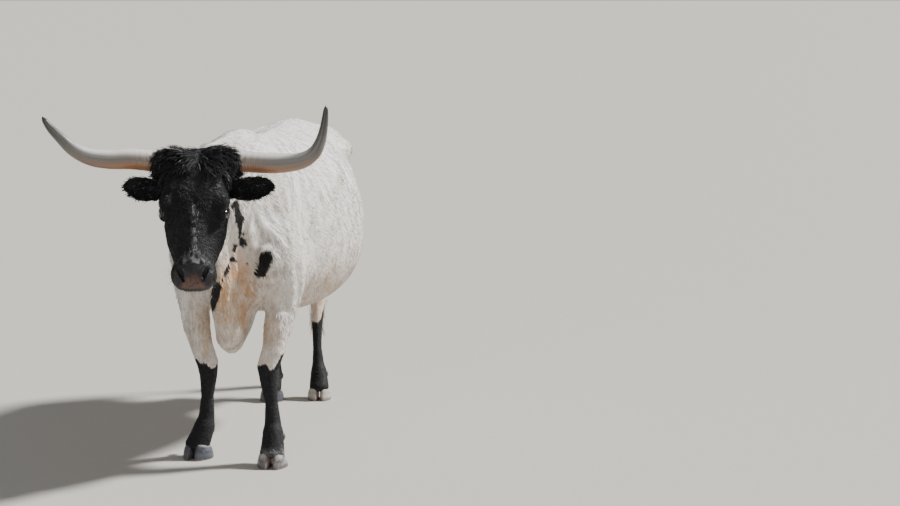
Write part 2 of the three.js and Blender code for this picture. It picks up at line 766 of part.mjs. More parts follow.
// Feet: a claw's outline at the sole and at the coronet, [x, y], its cleft side towards x = 0, toe towards -Y.
const SOLE = [[5, 46], [4, 8], [6, -34], [16, -62], [34, -56], [56, -26], [65, 8], [57, 38], [32, 52]];
const CORONET = [[5, 43], [4, 14], [5, -14], [13, -33], [29, -33], [45, -17], [52, 8], [46, 33], [27, 44]];
const CORONET_HEIGHT = 58;
const CORONET_SLOPE = 0.22; // lower at the heel
const FOOT_SCALE = { fore: 1, hind: 0.9 };
const TOE_OUT = { fore_left: 3, fore_right: 14, hind_left: 7, hind_right: 5 };
const DEWCLAW = { place: { fore: vector(33, 66, 112), hind: vector(32, 72, 112) }, radii: vector(13, 15, 18) };

function footOf(end, { name, s }) {
  const joints = (end === "fore" ? foreJoints : hindJoints)[name];
  const [x, y] = joints[joints.length - 1];
  const turn = new THREE.Matrix4().makeRotationZ(s * THREE.MathUtils.degToRad(TOE_OUT[`${end}_${name}`]));
  const size = FOOT_SCALE[end];
  return new THREE.Matrix4().makeTranslation(x * BODY, y * BODY, 0).multiply(turn).scale(vector(size, size, 1));
}

function coronetPlane(foot) {
  const plane = new THREE.Plane().setFromNormalAndCoplanarPoint(
    vector(0, CORONET_SLOPE, 1).normalize(),
    vector(0, 0, CORONET_HEIGHT),
  );
  plane.applyMatrix4(foot);
  return { normal: plane.normal, point: plane.coplanarPoint(vector()) };
}

function claw(foot, t) {
  const rings = [0, 0.5, 1].map((up) =>
    SOLE.map(([x, y], i) => {
      const swell = 1.4 * up * (1 - up);
      const px = lerp(x, CORONET[i][0], up) + (x > 10 ? swell : 0);
      const py = lerp(y, CORONET[i][1], up);
      return vector(px * t, py, up * (CORONET_HEIGHT - py * CORONET_SLOPE - GAP)).applyMatrix4(foot);
    }),
  );
  return skinned(rings);
}

function dewclaw(end, foot, t, more = 0) {
  const place = DEWCLAW.place[end];
  const tilt = new THREE.Matrix4().makeRotationX(0.5);
  const matrix = new THREE.Matrix4().makeTranslation(place.x * t, place.y, place.z).multiply(tilt);
  matrix.premultiply(foot).scale(DEWCLAW.radii.clone().addScalar(more));
  return solidOf(new THREE.SphereGeometry(1, 7, 5).applyMatrix4(matrix));
}

const TAIL = [
  [0, 1322, 1266, 29],
  [0, 1366, 1300, 31],
  [2, 1420, 1312, 30],
  [8, 1464, 1288, 27],
  [18, 1490, 1226, 25],
  [34, 1500, 1120, 23],
  [46, 1500, 980, 21],
  [54, 1492, 840, 19],
  [57, 1484, 700, 17],
  [54, 1480, 560, 15],
];
const SWITCH = [
  [57, 1486, 730, 20],
  [56, 1482, 640, 24],
  [53, 1480, 540, 25],
  [48, 1478, 440, 20],
  [45, 1476, 360, 10],
  [44, 1476, 330, 4],
];
const SWITCH_LOCK = { length: 190, lift: 20, wide: 21, thick: 8 };
const SWITCH_TIERS = [
  { x: 57, z: 660, core: 20, count: 5 },
  { x: 54, z: 560, core: 22, count: 4 },
  { x: 49, z: 460, core: 16, count: 3 },
];

function switchHair() {
  const draw = drawer(11);
  const locks = [];
  SWITCH_TIERS.forEach(({ x, z, core, count }, tier) => {
    for (let i = 0; i < count; i++) {
      const turn = ((i + tier / 2) / count) * 2 * Math.PI;
      const out = vector(Math.cos(turn), Math.sin(turn), 0);
      const root = vector(x, 1481, z + 20 * draw()).addScaledVector(out, core);
      const lie = vector(0.08 * draw(), 0.08 * draw(), -1).addScaledVector(out, -0.04).normalize();
      locks.push(lock(root, out, lie, { ...SWITCH_LOCK, length: SWITCH_LOCK.length * (1 + 0.15 * draw()) }));
    }
  });
  return union(locks);
}

const tail = (more = 0) => tapered(TAIL, 8, 20, more);

// The trunk and the neck, parted where the neck begins.
function trunkPieces() {
  const low = vector(-450, -640, 430);
  const whole = surfaced(flesh, low, vector(450, 1540, 1460), vector(42, 56, 44), 5);
  let torso = kept(whole, opposite(NECK_BASE));
  for (const box of legBoxes) torso = torso.subtract(grown(box, GAP / 2));
  return [torso.subtract(tail(SOCKET_GAP)), kept(kept(whole, NECK_BASE), opposite(inWorld(HEAD_BACK)))];
}

function head() {
  const low = vector(-230, -570, -190);
  const skull = surfaced(fleshInHead, low, vector(230, 120, 130), vector(14, 16, 13), 2.8);
  const haired = skull.add(pollHair()).simplify(HAIR_SLIVER);
  const bare = kept(union([haired, lids(1), lids(-1)]), HEAD_BACK);
  const holes = sides.flatMap(({ name, s }) => [
    eye(s, SOCKET_GAP),
    lidOpening(s),
    nostril(s),
    horn(name, SOCKET_GAP),
    ear({ name, s }, SOCKET_GAP),
  ]);
  return bare.subtract(union([...holes, mouth()]));
}

// One leg, cut level into an upper and a lower length and sloping at the coronet.
function legPieces(end, side, cell, cut) {
  const box = legBoxes.find(({ leg }) => leg === `${end}leg_${side.name}`);
  const low = box.low.clone().subScalar(40);
  const high = box.high.clone().addScalar(40);
  low.z = -60;
  const foot = footOf(end, side);
  let solid = surfaced(flesh, low, high, cell, 2.8).intersect(grown(box, -GAP / 2));
  solid = kept(solid, coronetPlane(foot));
  for (const t of [1, -1]) solid = solid.subtract(dewclaw(end, foot, t, SOCKET_GAP));
  const above = { normal: vector(0, 0, 1), point: vector(0, 0, cut) };
  return [kept(solid, above), kept(solid, opposite(above))];
}

const [torso, neck] = trunkPieces();
addNode(nodes.body, "torso", torso, "white_coat");
addNode(nodes.body, "neck", neck, "white_coat");
addNode(nodes.body, "tail", tail(), "white_coat");
const hair = tapered(SWITCH, 7, 8).add(switchHair()).simplify(HAIR_SLIVER);
addNode(nodes.body, "tail_switch", hair.subtract(tail(SOCKET_GAP)), "white_coat");
addNode(nodes.head, "head", head(), "black_coat");
for (const side of sides) {
  const { name, s } = side;
  addNode(nodes.head, `horn_${name}`, horn(name), "horn");
  addNode(nodes.head, `ear_${name}`, ear(side).add(earFringe(side)).simplify(HAIR_SLIVER / 2), "black_coat");
  addNode(nodes.head, `eye_${name}`, eye(s), "eye");
  const [forearm, shin] = legPieces("fore", side, vector(18, 20, 28), KNEE_LEVEL);
  addNode(nodes.body, `foreleg_${name}_upper`, forearm, "white_coat");
  addNode(nodes.body, `foreleg_${name}_lower`, shin, "black_coat");
  const [thigh, cannon] = legPieces("hind", side, vector(19, 21, 28), HOCK_LEVEL);
  addNode(nodes.body, `hindleg_${name}_upper`, thigh, "white_coat");
  addNode(nodes.body, `hindleg_${name}_lower`, cannon, "black_coat");
  for (const end of ["fore", "hind"])
    for (const t of [1, -1]) {
      const place = t > 0 ? "outer" : "inner";
      const foot = footOf(end, side);
      addNode(nodes.body, `claw_${end}_${name}_${place}`, claw(foot, t * s), "hoof");
      addNode(nodes.body, `dewclaw_${end}_${name}_${place}`, dewclaw(end, foot, t * s), "hoof");
    }
}

const steer = new THREE.Group();
steer.add(nodes.body, nodes.head);

// The frame stands on the floor under the middle of the whole.
const whole = new THREE.Box3().setFromObject(steer, true);
const middle = whole.getCenter(vector());
steer.position.set(-middle.x, -middle.y, -whole.min.z);

export default steer;
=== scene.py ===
"""A longhorn steer, white with a black head and black lower legs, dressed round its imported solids."""

import math

import bpy
import numpy as np
from bpy.props import FloatProperty, FloatVectorProperty, PointerProperty
from mathutils import Matrix, Vector


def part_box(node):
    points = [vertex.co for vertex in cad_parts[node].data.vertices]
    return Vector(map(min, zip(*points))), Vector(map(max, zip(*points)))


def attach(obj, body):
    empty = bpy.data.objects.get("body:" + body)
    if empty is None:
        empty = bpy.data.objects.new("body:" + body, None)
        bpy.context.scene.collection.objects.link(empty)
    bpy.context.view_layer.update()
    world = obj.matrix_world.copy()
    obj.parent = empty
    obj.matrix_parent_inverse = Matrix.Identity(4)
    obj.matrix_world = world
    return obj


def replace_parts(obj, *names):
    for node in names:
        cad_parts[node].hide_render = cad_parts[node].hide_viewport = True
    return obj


bl_info = {
    "name": "Longhorn steer",
    "version": (1, 0, 0),
    "blender": (4, 5, 0),
    "location": "View3D > Sidebar > Steer",
    "description": "Builds the skin, coat, horns, hooves and eyes of a longhorn steer round its solids",
    "category": "Add Mesh",
}

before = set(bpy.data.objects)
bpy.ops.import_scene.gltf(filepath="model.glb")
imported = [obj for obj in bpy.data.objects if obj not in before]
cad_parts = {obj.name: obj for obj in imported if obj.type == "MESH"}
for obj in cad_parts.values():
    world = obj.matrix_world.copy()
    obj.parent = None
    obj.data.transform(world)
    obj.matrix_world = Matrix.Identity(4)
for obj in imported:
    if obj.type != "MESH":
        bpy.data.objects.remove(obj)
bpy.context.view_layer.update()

# Lengths are in millimetres in the animal's own frame, which faces -Y with its middle fore feet at y = 0.
WITHERS = 1378.0
HEAD_LENGTH = 515.0
HEAD_PLACE = np.array([-8.0, -565.0, 1320.0])
HEAD_YAW = math.radians(10)
HEAD_PITCH = math.radians(62)
EYE_RADIUS = 20.0
FORE_STAGGER = 100.0
HIND_STAGGER = 60.0
BODY = WITHERS / 102
HEAD = HEAD_LENGTH / 95.4

# Trunk stations: at, top, widest level, bottom, half width, boxiness above and below.
TRUNK = [
    [-16, 81, 69, 58.5, 4.4, 2.1, 2.1], [-12.6, 90, 69, 51.5, 10, 2.1, 2.1],
    [-4.4, 99, 67, 47.4, 15, 2.1, 2.1], [6, 102.2, 66, 46.4, 17.8, 2.1, 2.1],
    [18.5, 101.4, 65, 44, 21.6, 2.1, 2.2], [37, 99.8, 64, 40.2, 27.2, 2.1, 2.2],
    [53, 100, 64.5, 38.2, 29.7, 2.1, 2.2], [67, 100.5, 66.5, 39.4, 29, 2.1, 2.2],
    [80, 101.4, 71, 49, 24.8, 2.1, 2.2], [92, 100.8, 75.6, 58, 20, 2.1, 2.2],
    [101.5, 97.6, 78.5, 65.2, 13.6, 2.1, 2.1], [106.6, 91.4, 80, 71.1, 6.4, 2.1, 2.1],
]
NECK = [[0, 2, 81.2, 12, 20.6], [0, -15, 86, 10, 17], [0, -28, 89.4, 8.6, 13], [0, -37.5, 91.8, 7.2, 9.6]]
DEWLAP = [
    [0, -31, 81, 3, 6.5], [0, -24.5, 70, 3.2, 9], [-0.1, -16.5, 59, 3.6, 9.5],
    [-0.3, -10.8, 49, 4.3, 8.4], [-0.6, -6.8, 41.6, 4.6, 7], [-0.4, 4, 44.6, 4.8, 6],
]
# Muscles of one side: centre, radii and tilt about X in degrees.
MUSCLES = [
    ([11.6, 3, 80], [5.4, 10, 17.5], -18), ([13, -7.6, 66.5], [5.8, 7, 9], 0),
    ([15.2, 4.6, 60], [5.2, 9.5, 12], 30), ([17.4, 80.5, 91], [5, 7, 4], 0),
    ([10, 91, 88], [9, 14, 10], -8), ([11.8, 88, 70], [8, 14, 18], 12),
    ([15.4, 75.5, 58.5], [5.4, 7, 8], 0), ([7.6, 102.6, 86], [3.6, 4.4, 5], 0),
]
FORELEG = [
    [5, 62, 5.8, 8], [4, 54, 5.3, 6.6], [2.4, 48, 4.9, 5.8], [0.4, 42.4, 4.5, 4.8], [-0.8, 36, 3.7, 3.9],
    [-1.2, 30.6, 3.45, 3.9], [-1.1, 26.4, 2.9, 3.1], [-0.6, 19.4, 2.15, 2.6], [-0.6, 12.6, 2.65, 3.1],
    [-1.4, 10, 3.3, 3.5], [-3.2, 6.6, 3.7, 3], [-4, 4, 4.1, 3.3],
]
FORE_SET = {
    "left": [14.2, 14.2, 13.6, 12.9, 11.9, 10.2, 10.4, 11.2, 11.6, 11.8, 12.1, 12.1],
    "right": [13.8, 14.6, 14.5, 13.5, 11.9, 10.1, 9.9, 10.6, 11.2, 11.7, 12.6, 13.6],
}
HINDLEG = [
    [79, 60, 6.6, 9.4], [85, 50, 4.9, 7.8], [89.6, 42.4, 3.5, 5], [92, 37.5, 3.2, 4.1],
    [90.8, 33, 2.7, 3.6], [88.2, 25, 1.95, 2.6], [86.6, 18, 1.75, 2.4], [85.4, 12.6, 2.2, 2.9],
    [84.6, 9.8, 2.9, 3.3], [82.6, 6.6, 3.4, 2.9], [81.4, 4.2, 3.7, 3.2],
]
HIND_SET = {
    "left": [13.4, 11.6, 8.8, 7.4, 7, 7.2, 7.5, 7.9, 8.2, 8.6, 8.9],
    "right": [13.2, 11.2, 8.4, 7, 6.6, 6.7, 7, 7.2, 7.3, 7.5, 7.7],
}
HOCK = [[-1.6, 9, 1.6, 2.2], [2.6, 3.4, 1.8, 2.2], [2, 0, 2, 2.6]]
SKULL = [
    [-95.4, -0.6, -3, -6, 7, 2.4, 2.4], [-93.2, 4, -2.6, -8.6, 12, 2.5, 2.4],
    [-88, 7.4, -2.6, -10.8, 15.2, 2.6, 2.4], [-82, 8.4, -3, -12, 15.3, 2.6, 2.4],
    [-76, 8.8, -4.6, -13.8, 14.4, 2.3, 2.4], [-69, 9.6, -7, -17.4, 16.4, 1.9, 2.4],
    [-60, 10.8, -8, -20.6, 19.6, 1.75, 2.4], [-50, 12.4, -6, -23, 21.4, 1.9, 2.4],
    [-40, 14.4, 0, -24.4, 20.8, 2.4, 2.4], [-31, 15.4, 3, -24, 21.6, 2.6, 2.4],
    [-20, 15, 3, -22, 23.4, 2.6, 2.4], [-9, 13.6, 2, -20, 23.2, 2.5, 2.4],
    [0, 10.4, 0, -17, 19.6, 2.4, 2.4], [5.2, 4, -3, -13, 13.4, 2.3, 2.4],
]
EYE = np.array([20.3, -42, 6.6])
HORNS = {
    "left": [
        [95, 8, -4, 40], [177, 4, -3, 41], [282, -12, -7, 40], [360, -26, -4, 36], [415, -34, 9, 31],
        [452, -37, 37, 26], [474, -35, 78, 21], [487, -29, 130, 16], [494, -21, 185, 11],
        [496, -17, 214, 7.5],
    ],
    "right": [
        [-85, 8, 0, 40], [-157, 4, 2, 41], [-249, -9, 11, 40], [-330, -22, 11, 37], [-400, -31, 22, 32.5],
        [-458, -35, 50, 27], [-505, -36, 94, 21.5], [-542, -33, 131, 16], [-565, -29, 162, 10.5],
        [-573, -27, 175, 7.5],
    ],
}
EAR = [
    [82, -36, -112, 24, 8], [120, -38, -108, 30, 12], [155, -42, -102, 38, 17], [195, -44, -100, 45, 21],
    [238, -42, -97, 45, 20], [268, -39, -93, 37, 15], [290, -35, -92, 24, 9], [304, -32, -93, 10, 4],
]
EAR_REACH = {"left": 0.97, "right": 0.9}
SOLE = [[5, 46], [4, 8], [6, -34], [16, -62], [34, -56], [56, -26], [65, 8], [57, 38], [32, 52]]
CORONET = [[5, 43], [4, 14], [5, -14], [13, -33], [29, -33], [45, -17], [52, 8], [46, 33], [27, 44]]
CORONET_HEIGHT = 58.0
SKIN_BOTTOM = 44.0  # where the skin ends, inside the hooves
COAT_BOTTOM = 62.0
CORONET_SLOPE = 0.22
FOOT_SCALE = {"fore": 1.0, "hind": 0.9}
TOE_OUT = {"fore_left": 3, "fore_right": 14, "hind_left": 7, "hind_right": 5}
DEWCLAW_PLACE = {"fore": [33, 66, 112], "hind": [32, 72, 112]}
TAIL = [
    [0, 1322, 1266, 29], [0, 1366, 1300, 31], [2, 1420, 1312, 30], [8, 1464, 1288, 27],
    [18, 1490, 1226, 25], [34, 1500, 1120, 23], [46, 1500, 980, 21], [54, 1492, 840, 19],
    [57, 1484, 700, 17], [54, 1480, 560, 15],
]
SIDES = {"left": 1, "right": -1}


def turn_x(angle):
    c, s = math.cos(angle), math.sin(angle)
    return np.array([[1, 0, 0], [0, c, -s], [0, s, c]])


def turn_z(angle):
    c, s = math.cos(angle), math.sin(angle)
    return np.array([[c, -s, 0], [s, c, 0], [0, 0, 1]])


LEVEL = turn_z(HEAD_YAW)
TILTED = LEVEL @ turn_x(HEAD_PITCH)


def into_head(p):
    return (p - HEAD_PLACE) @ TILTED


def from_head(p):
    return np.asarray(p, float) @ TILTED.T + HEAD_PLACE


def into_level(p):
    return (p - HEAD_PLACE) @ LEVEL


def from_level(p):
    return np.asarray(p, float) @ LEVEL.T + HEAD_PLACE


def eye_middle(s):
    return EYE * [s, 1, 1] * HEAD


def eye_place(s):
    return from_head(eye_middle(s))


# The animal's own frame stands off the row's frame by what the left eye shows.
_low, _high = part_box("eye_left")
SHIFT = np.array((_low + _high) / 2) * 1000 - eye_place(1)


def to_row(p):
    return (np.asarray(p, float) + SHIFT) / 1000


def smoothstep(low, high, value):
    t = np.clip((value - low) / (high - low), 0, 1)
    return t * t * (3 - 2 * t)


def bell(value, middle, spread):
    return np.exp(-(((value - middle) / spread) ** 2))


def norms(v):
    return np.linalg.norm(v, axis=1)


def unit(v):
    return v / np.maximum(np.linalg.norm(v, axis=-1), 1e-9)[..., None]


def turns_round(sides):
    return np.arange(sides) / sides * 2 * np.pi


# Repeatable noise on a lattice, smooth between its points, from -1 to 1.
def lattice(i, j, k, seed):
    h = (i * 374761393 + j * 668265263 + k * 2147483647 + seed * 974634777) & 0xFFFFFFFF
    h = ((h ^ (h >> 13)) * 1274126177) & 0xFFFFFFFF
    h = h ^ (h >> 16)
    return (h & 0xFFFF) / 32767.5 - 1


def noise(p, scale, seed=0):
    q = np.asarray(p, float) / scale
    base = np.floor(q).astype(np.int64)
    t = q - base
    t = t * t * (3 - 2 * t)
    total = np.zeros(len(q))
    for corner in range(8):
        o = np.array([corner & 1, (corner >> 1) & 1, corner >> 2])
        weight = np.prod(np.where(o == 1, t, 1 - t), axis=1)
        cell = base + o
        total += weight * lattice(cell[:, 0], cell[:, 1], cell[:, 2], seed)
    return total


# Forms: rough distances to a surface, negative inside it.
def fused(a, b, fillet):
    near = np.maximum(fillet - np.abs(a - b), 0) / fillet
    return np.minimum(a, b) - near * near * fillet * 0.25


def carved(a, tool, fillet):
    return -fused(-a, tool, fillet)


def spline(at, rows):
    """A smooth curve through rows of numbers, each at its own place along."""
    last = len(at) - 1
    before = [max(i - 1, 0) for i in range(len(at))]
    after = [min(i + 1, last) for i in range(len(at))]
    slope = (rows[after] - rows[before]) / (at[after] - at[before])[:, None]

    def sample(x):
        i = np.clip(np.searchsorted(at, x) - 1, 0, last - 1)
        span = (at[i + 1] - at[i])[:, None]
        t = (x - at[i])[:, None] / span
        t2, t3 = t * t, t * t * t
        v = (2 * t3 - 3 * t2 + 1) * rows[i] + (t3 - 2 * t2 + t) * span * slope[i]
        return v + ((3 * t2 - 2 * t3) * rows[i + 1] + (t3 - t2) * span * slope[i + 1])

    return sample


def lofted(stations, scale):
    rows = np.array(stations, float)
    rows[:, :5] *= scale
    at = rows[:, 0]
    sample = spline(at, rows[:, 1:])

    def form(p):
        y = np.clip(p[:, 1], at[0], at[-1])
        top, widest, bottom, half, above, below = sample(y).T
        rise = p[:, 2] - widest
        tall = np.where(rise > 0, top - widest, widest - bottom)
        power = np.where(rise > 0, above, below)
        ratio = (np.abs(p[:, 0]) / half) ** power + (np.abs(rise) / tall) ** power
        inside = (ratio ** (1 / power) - 1) * np.minimum(half, tall)
        past = np.abs(p[:, 1] - y)
        return np.where(past > 0, np.hypot(np.maximum(inside, 0), past), inside)

    return form


# A form as it is near its own box, and only far away elsewhere, which is all that a fillet needs.
def nearby(form, low, high, margin=140.0):
    low, high = low - margin, high + margin

    def bounded(p):
        close = ((p > low) & (p < high)).all(1)
        value = np.full(len(p), margin)
        if close.any():
            value[close] = form(p[close])
        return value

    return bounded


def ellipsoid(middle, radii, tilt=0.0):
    middle, radii = np.array(middle, float), np.array(radii, float)
    turn, most = turn_x(tilt), radii.max()

    def form(p):
        return (norms(((p - middle) @ turn) / radii) - 1) * radii.min()

    return nearby(form, middle - most, middle + most)


# A chain of tapering links, each joint [x, y, z, radius across, radius fore and aft].
def limb(joints, unit=1.0):
    joints = np.array(joints, float) * unit
    links = []
    for a, b in zip(joints[:-1], joints[1:]):
        along = b[:3] - a[:3]
        length = np.linalg.norm(along)
        along = along / length
        aside = np.array([1.0, 0, 0]) - along * along[0]
        aside /= np.linalg.norm(aside)
        links.append((a, b, along, length, aside, np.cross(along, aside)))

    def form(p):
        least = np.full(len(p), 1e6)
        for a, b, along, length, aside, fore in links:
            q = p - a[:3]
            t = np.clip(q @ along / length, 0, 1)
            wide = a[3] + (b[3] - a[3]) * t
            deep = a[4] + (b[4] - a[4]) * t
            narrow = np.minimum(wide, deep)
            past = (q @ along - length * t) / narrow
            r = np.sqrt((q @ aside / wide) ** 2 + (q @ fore / deep) ** 2 + past**2)
            least = np.minimum(least, (r - 1) * narrow)
        return least

    most = joints[:, 3:].max(1)[:, None]
    return nearby(form, (joints[:, :3] - most).min(0), (joints[:, :3] + most).max(0))


def united(forms, fillet):
    def form(p):
        total = np.full(len(p), 1e6)
        for one in forms:
            total = fused(total, one(p), fillet)
        return total

    return form


def leg_joints(joints, setting, s, ahead):
    top, toe = joints[0][1], joints[-1][1]
    made = []
    for (y, z, wide, deep), out in zip(joints, setting):
        low = min(max((top - z) / (top - toe), 0), 1)
        made.append([s * out, y - ahead / BODY * low, z, wide, deep])
    return made


LEGS = {}
for _name, _s in SIDES.items():
    LEGS["fore", _name] = leg_joints(FORELEG, FORE_SET[_name], _s, _s * FORE_STAGGER / 2)
    LEGS["hind", _name] = leg_joints(HINDLEG, HIND_SET[_name], _s, -_s * HIND_STAGGER / 2)


def hock_form(name):
    x, y, z = LEGS["hind", name][3][:3]
    return limb([[x, y + back, z + up, wide, deep] for back, up, wide, deep in HOCK], BODY)


def muscle_forms():
    made = []
    for s in SIDES.values():
        for (x, y, z), radii, tilt in MUSCLES:
            made.append(ellipsoid(np.array([x * s, y, z]) * BODY, np.array(radii) * BODY, math.radians(tilt)))
    return made


trunk_form = united([lofted(TRUNK, BODY), *muscle_forms()], 3 * BODY)
leg_form = united([limb(j, BODY) for j in LEGS.values()] + [hock_form(n) for n in SIDES], 1.8 * BODY)
neck_form = united([limb(NECK, BODY), limb(DEWLAP, BODY)], 3.4 * BODY)
tail_form = limb([[x, y, z, r, r] for x, y, z, r in TAIL])


# Swellings of one side of the skull: centre and radii.
SWELLS = [
    ([19.2, -34.4, 9.2], [5.2, 6.4, 4.6]), ([16.4, -38, -12], [5.6, 15, 9.5]), (EYE, [3.4, 4.6, 3.4]),
    ([9.6, -84, -1], [5.4, 7, 6]),
]


def skull_parts():
    made = [lofted(SKULL, HEAD)]
    for s in SIDES.values():
        for middle, radii in SWELLS:
            made.append(ellipsoid(np.array(middle) * [s, 1, 1] * HEAD, np.array(radii) * HEAD))
        made.append(limb([[10 * s, -2, 2, 8, 8], [22.6 * s, -1.8, 0, 9.2, 9.2]], HEAD))
    made.append(ellipsoid(np.array([0, -82.5, -9]) * HEAD, np.array([8, 7.5, 4]) * HEAD))
    made.append(limb([[0, -45, 9, 6, 5], [0, -77, 4.6, 6, 3.6]], HEAD))
    return made


skull_form = nearby(
    united(skull_parts(), 3 * HEAD),
    np.array([-32, -96, -26]) * HEAD,
    np.array([32, 8, 18]) * HEAD,
)


def flesh(p):
    body = fused(fused(trunk_form(p), leg_form(p), 3.2 * BODY), neck_form(p), 5 * BODY)
    body = fused(body, tail_form(p), 14)
    return fused(body, skull_form(into_head(p)), 3.4 * BODY)


# Openings of the face, in the head's frame: [x, y, z, radius].
NOSTRIL = [
    [11.4, -80.2, 7.4, 3.5], [9.8, -83, 7, 6.5], [7.9, -86.4, 6, 8.6],
    [6.4, -89.6, 4.2, 8.2], [7, -85, -1, 7],
]


def nostril_form(s):
    return limb([[x * s * HEAD, y * HEAD, z * HEAD, r, r] for x, y, z, r in NOSTRIL])


def mouth_path(count=21, widest=1.5):
    turns = np.linspace(-widest, widest, count)
    start = np.stack([0 * turns, 0 * turns - 76, -5.4 - 1.6 * np.abs(np.sin(turns))], axis=1) * HEAD
    outward = np.stack([np.sin(turns), -np.cos(turns), 0 * turns], axis=1)
    near, far = np.zeros(count), np.full(count, 200.0)
    for _ in range(30):
        middle = (near + far) / 2
        inside = skull_form(start + outward * middle[:, None]) < 0
        near, far = np.where(inside, middle, near), np.where(inside, far, middle)
    return start + outward * near[:, None]


MOUTH = mouth_path()
mouth_form = limb([[*place, 4.6, 4.6] for place in MOUTH])
nostril_forms = [nostril_form(s) for s in SIDES.values()]

LID = {"thick": 4.2, "longer": 5, "half": 12, "radius": 27, "ahead": 16}


# The lids are a shell over the eye, open where two balls overlap.
def lid_tools(s):
    outward = np.array([0.8 * s, -0.24, 0.55])
    along = np.array([0.12 * s, -0.95, -0.28])
    outward, along = outward / np.linalg.norm(outward), along / np.linalg.norm(along)
    across = np.cross(outward, along)
    across /= np.linalg.norm(across)
    middle = eye_middle(s)
    wide = EYE_RADIUS + LID["thick"]
    shell = ellipsoid(middle, [wide, wide + LID["longer"], wide])
    balls = []
    for side in (-1, 1):
        place = middle + outward * LID["ahead"] + across * side * (LID["radius"] - LID["half"])
        balls.append(ellipsoid(place, [LID["radius"]] * 3))
    return shell, balls, (outward, along, across)


LIDS = {name: lid_tools(s) for name, s in SIDES.items()}


def faced(h, value):
    """The skull's value at points of the head's frame, with lids, nostrils and the line of the mouth."""
    for shell, balls, _ in LIDS.values():
        value = fused(value, shell(h), 7)
        value = carved(value, np.maximum(balls[0](h), balls[1](h)), 1.5)
    for s in SIDES.values():
        q = h - eye_middle(s)
        r = norms(q * [1, 0.8, 1])
        value = value - 0.9 * np.cos((r - 33) * 2 * np.pi / 9.5) * bell(r, 36, 9)
    for nostril in nostril_forms:
        far = nostril(h)
        value = carved(value - 2.4 * bell(far, 5.5, 4.5), far, 3)
    return carved(value, mouth_form(h), 3)


def relief(p):
    """How far the skin stands out from the plain form, for bones, muscles and folds."""
    u = p / BODY
    x, y, z = np.abs(u[:, 0]), u[:, 1], u[:, 2]
    high = smoothstep(90, 97, z)
    out = 4 * high * bell(x, 0, 1.6) * smoothstep(8, 20, y) * (1 - smoothstep(94, 100, y))
    out -= 4 * high * bell(x, 6.5, 2.6) * smoothstep(30, 45, y) * (1 - smoothstep(88, 98, y))
    flank = smoothstep(5, 10, x)
    ribs = smoothstep(22, 28, y) * (1 - smoothstep(56, 64, y)) * smoothstep(50, 60, z)
    ribs = ribs * (1 - smoothstep(84, 94, z))
    out += 0.9 * flank * ribs * np.sin((y + 0.22 * (z - 70)) * 2 * np.pi / 5.4)
    out -= 16 * flank * bell(y, 69.5, 5.5) * bell(z, 85, 6.5)
    behind_shoulder = 8 * flank * bell(y + 0.24 * (z - 74), 15.5, 3)
    out -= behind_shoulder * smoothstep(54, 62, z) * (1 - smoothstep(88, 96, z))
    out -= 7 * flank * bell(y - 0.5 * (z - 74), 80, 2.6) * smoothstep(60, 66, z) * (1 - smoothstep(80, 88, z))
    blade = 5 * flank * bell(y - 0.34 * (z - 80), 2.5, 1.8)
    out += blade * smoothstep(66, 72, z) * (1 - smoothstep(90, 97, z))
    neck = (1 - smoothstep(1, 12, y)) * smoothstep(44, 52, z) * (1 - smoothstep(92, 99, z))
    warp = noise(p, 140, 3) * 1.6 + noise(p, 60, 4) * 0.5
    folds = np.sin((y + 0.3 * (z - 75)) * 2 * np.pi / 4.6 + warp * 2)
    low = 1 - smoothstep(62, 84, z)
    out += neck * (2.2 + 3.4 * low) * folds * smoothstep(1, 3, x + 2 * low)
    out += 2.2 * noise(p, 150, 1) + 0.9 * noise(p, 55, 2) + 2.4 * ripples(p)
    legs = 1 - smoothstep(28, 40, z)
    out *= 1 - 0.75 * legs
    shin = bell(z, 20, 6) * legs
    out -= 2.2 * shin * bell(p[:, 1] / BODY - leg_axis(p), 0.6, 0.9)
    return out


# Wavy ridges of hair that run down the neck, the shoulder and the upper barrel.
def ripples(p):
    x, y, z = np.abs(p[:, 0]) / BODY, p[:, 1] / BODY, p[:, 2] / BODY
    leaning = np.stack([p[:, 0], p[:, 1] + 0.45 * p[:, 2], 0.3 * p[:, 2] - 0.12 * p[:, 1]], axis=1)
    wave = noise(leaning, 36, 53) * 1.5 + noise(leaning, 14, 54) * 0.45
    where = smoothstep(64, 78, z) * (1 - smoothstep(97, 101, z)) * (1 - 0.6 * smoothstep(50, 70, y))
    patches = np.clip(0.6 + 0.7 * noise(p, 170, 55), 0, 1.2)
    return wave * where * patches * smoothstep(3, 8, x)


# Where the nearest leg's axis runs at a point's level, across and back, in body units.
def leg_middle(p):
    best, nearest = np.zeros((len(p), 2)), np.full(len(p), 1e9)
    z = p[:, 2] / BODY
    for joints in LEGS.values():
        rows = np.array(joints)[::-1]
        x = np.interp(z, rows[:, 2], rows[:, 0])
        y = np.interp(z, rows[:, 2], rows[:, 1])
        far = np.hypot(p[:, 0] / BODY - x, p[:, 1] / BODY - y)
        best[far < nearest] = np.stack([x, y], axis=1)[far < nearest]
        nearest = np.minimum(nearest, far)
    return best


def leg_axis(p):
    return leg_middle(p)[:, 1]


THROAT_LEAN = (-0.985, 0.174)


def before_throat(p, back):
    """How far ahead points are of a plane that leans from the poll to the throat."""
    q = into_level(p)
    return (q[:, 1] - back) * THROAT_LEAN[0] + (q[:, 2] + 50) * THROAT_LEAN[1]


# 1 on the head, 0 on the neck.
def head_share(p, soft=30.0):
    return smoothstep(-soft, soft, before_throat(p, 60))


def coat_depth(p):
    z = p[:, 2] / BODY
    depth = 2.2 + 3.0 * smoothstep(28, 46, z)
    return depth + (1.6 - depth) * head_share(p)


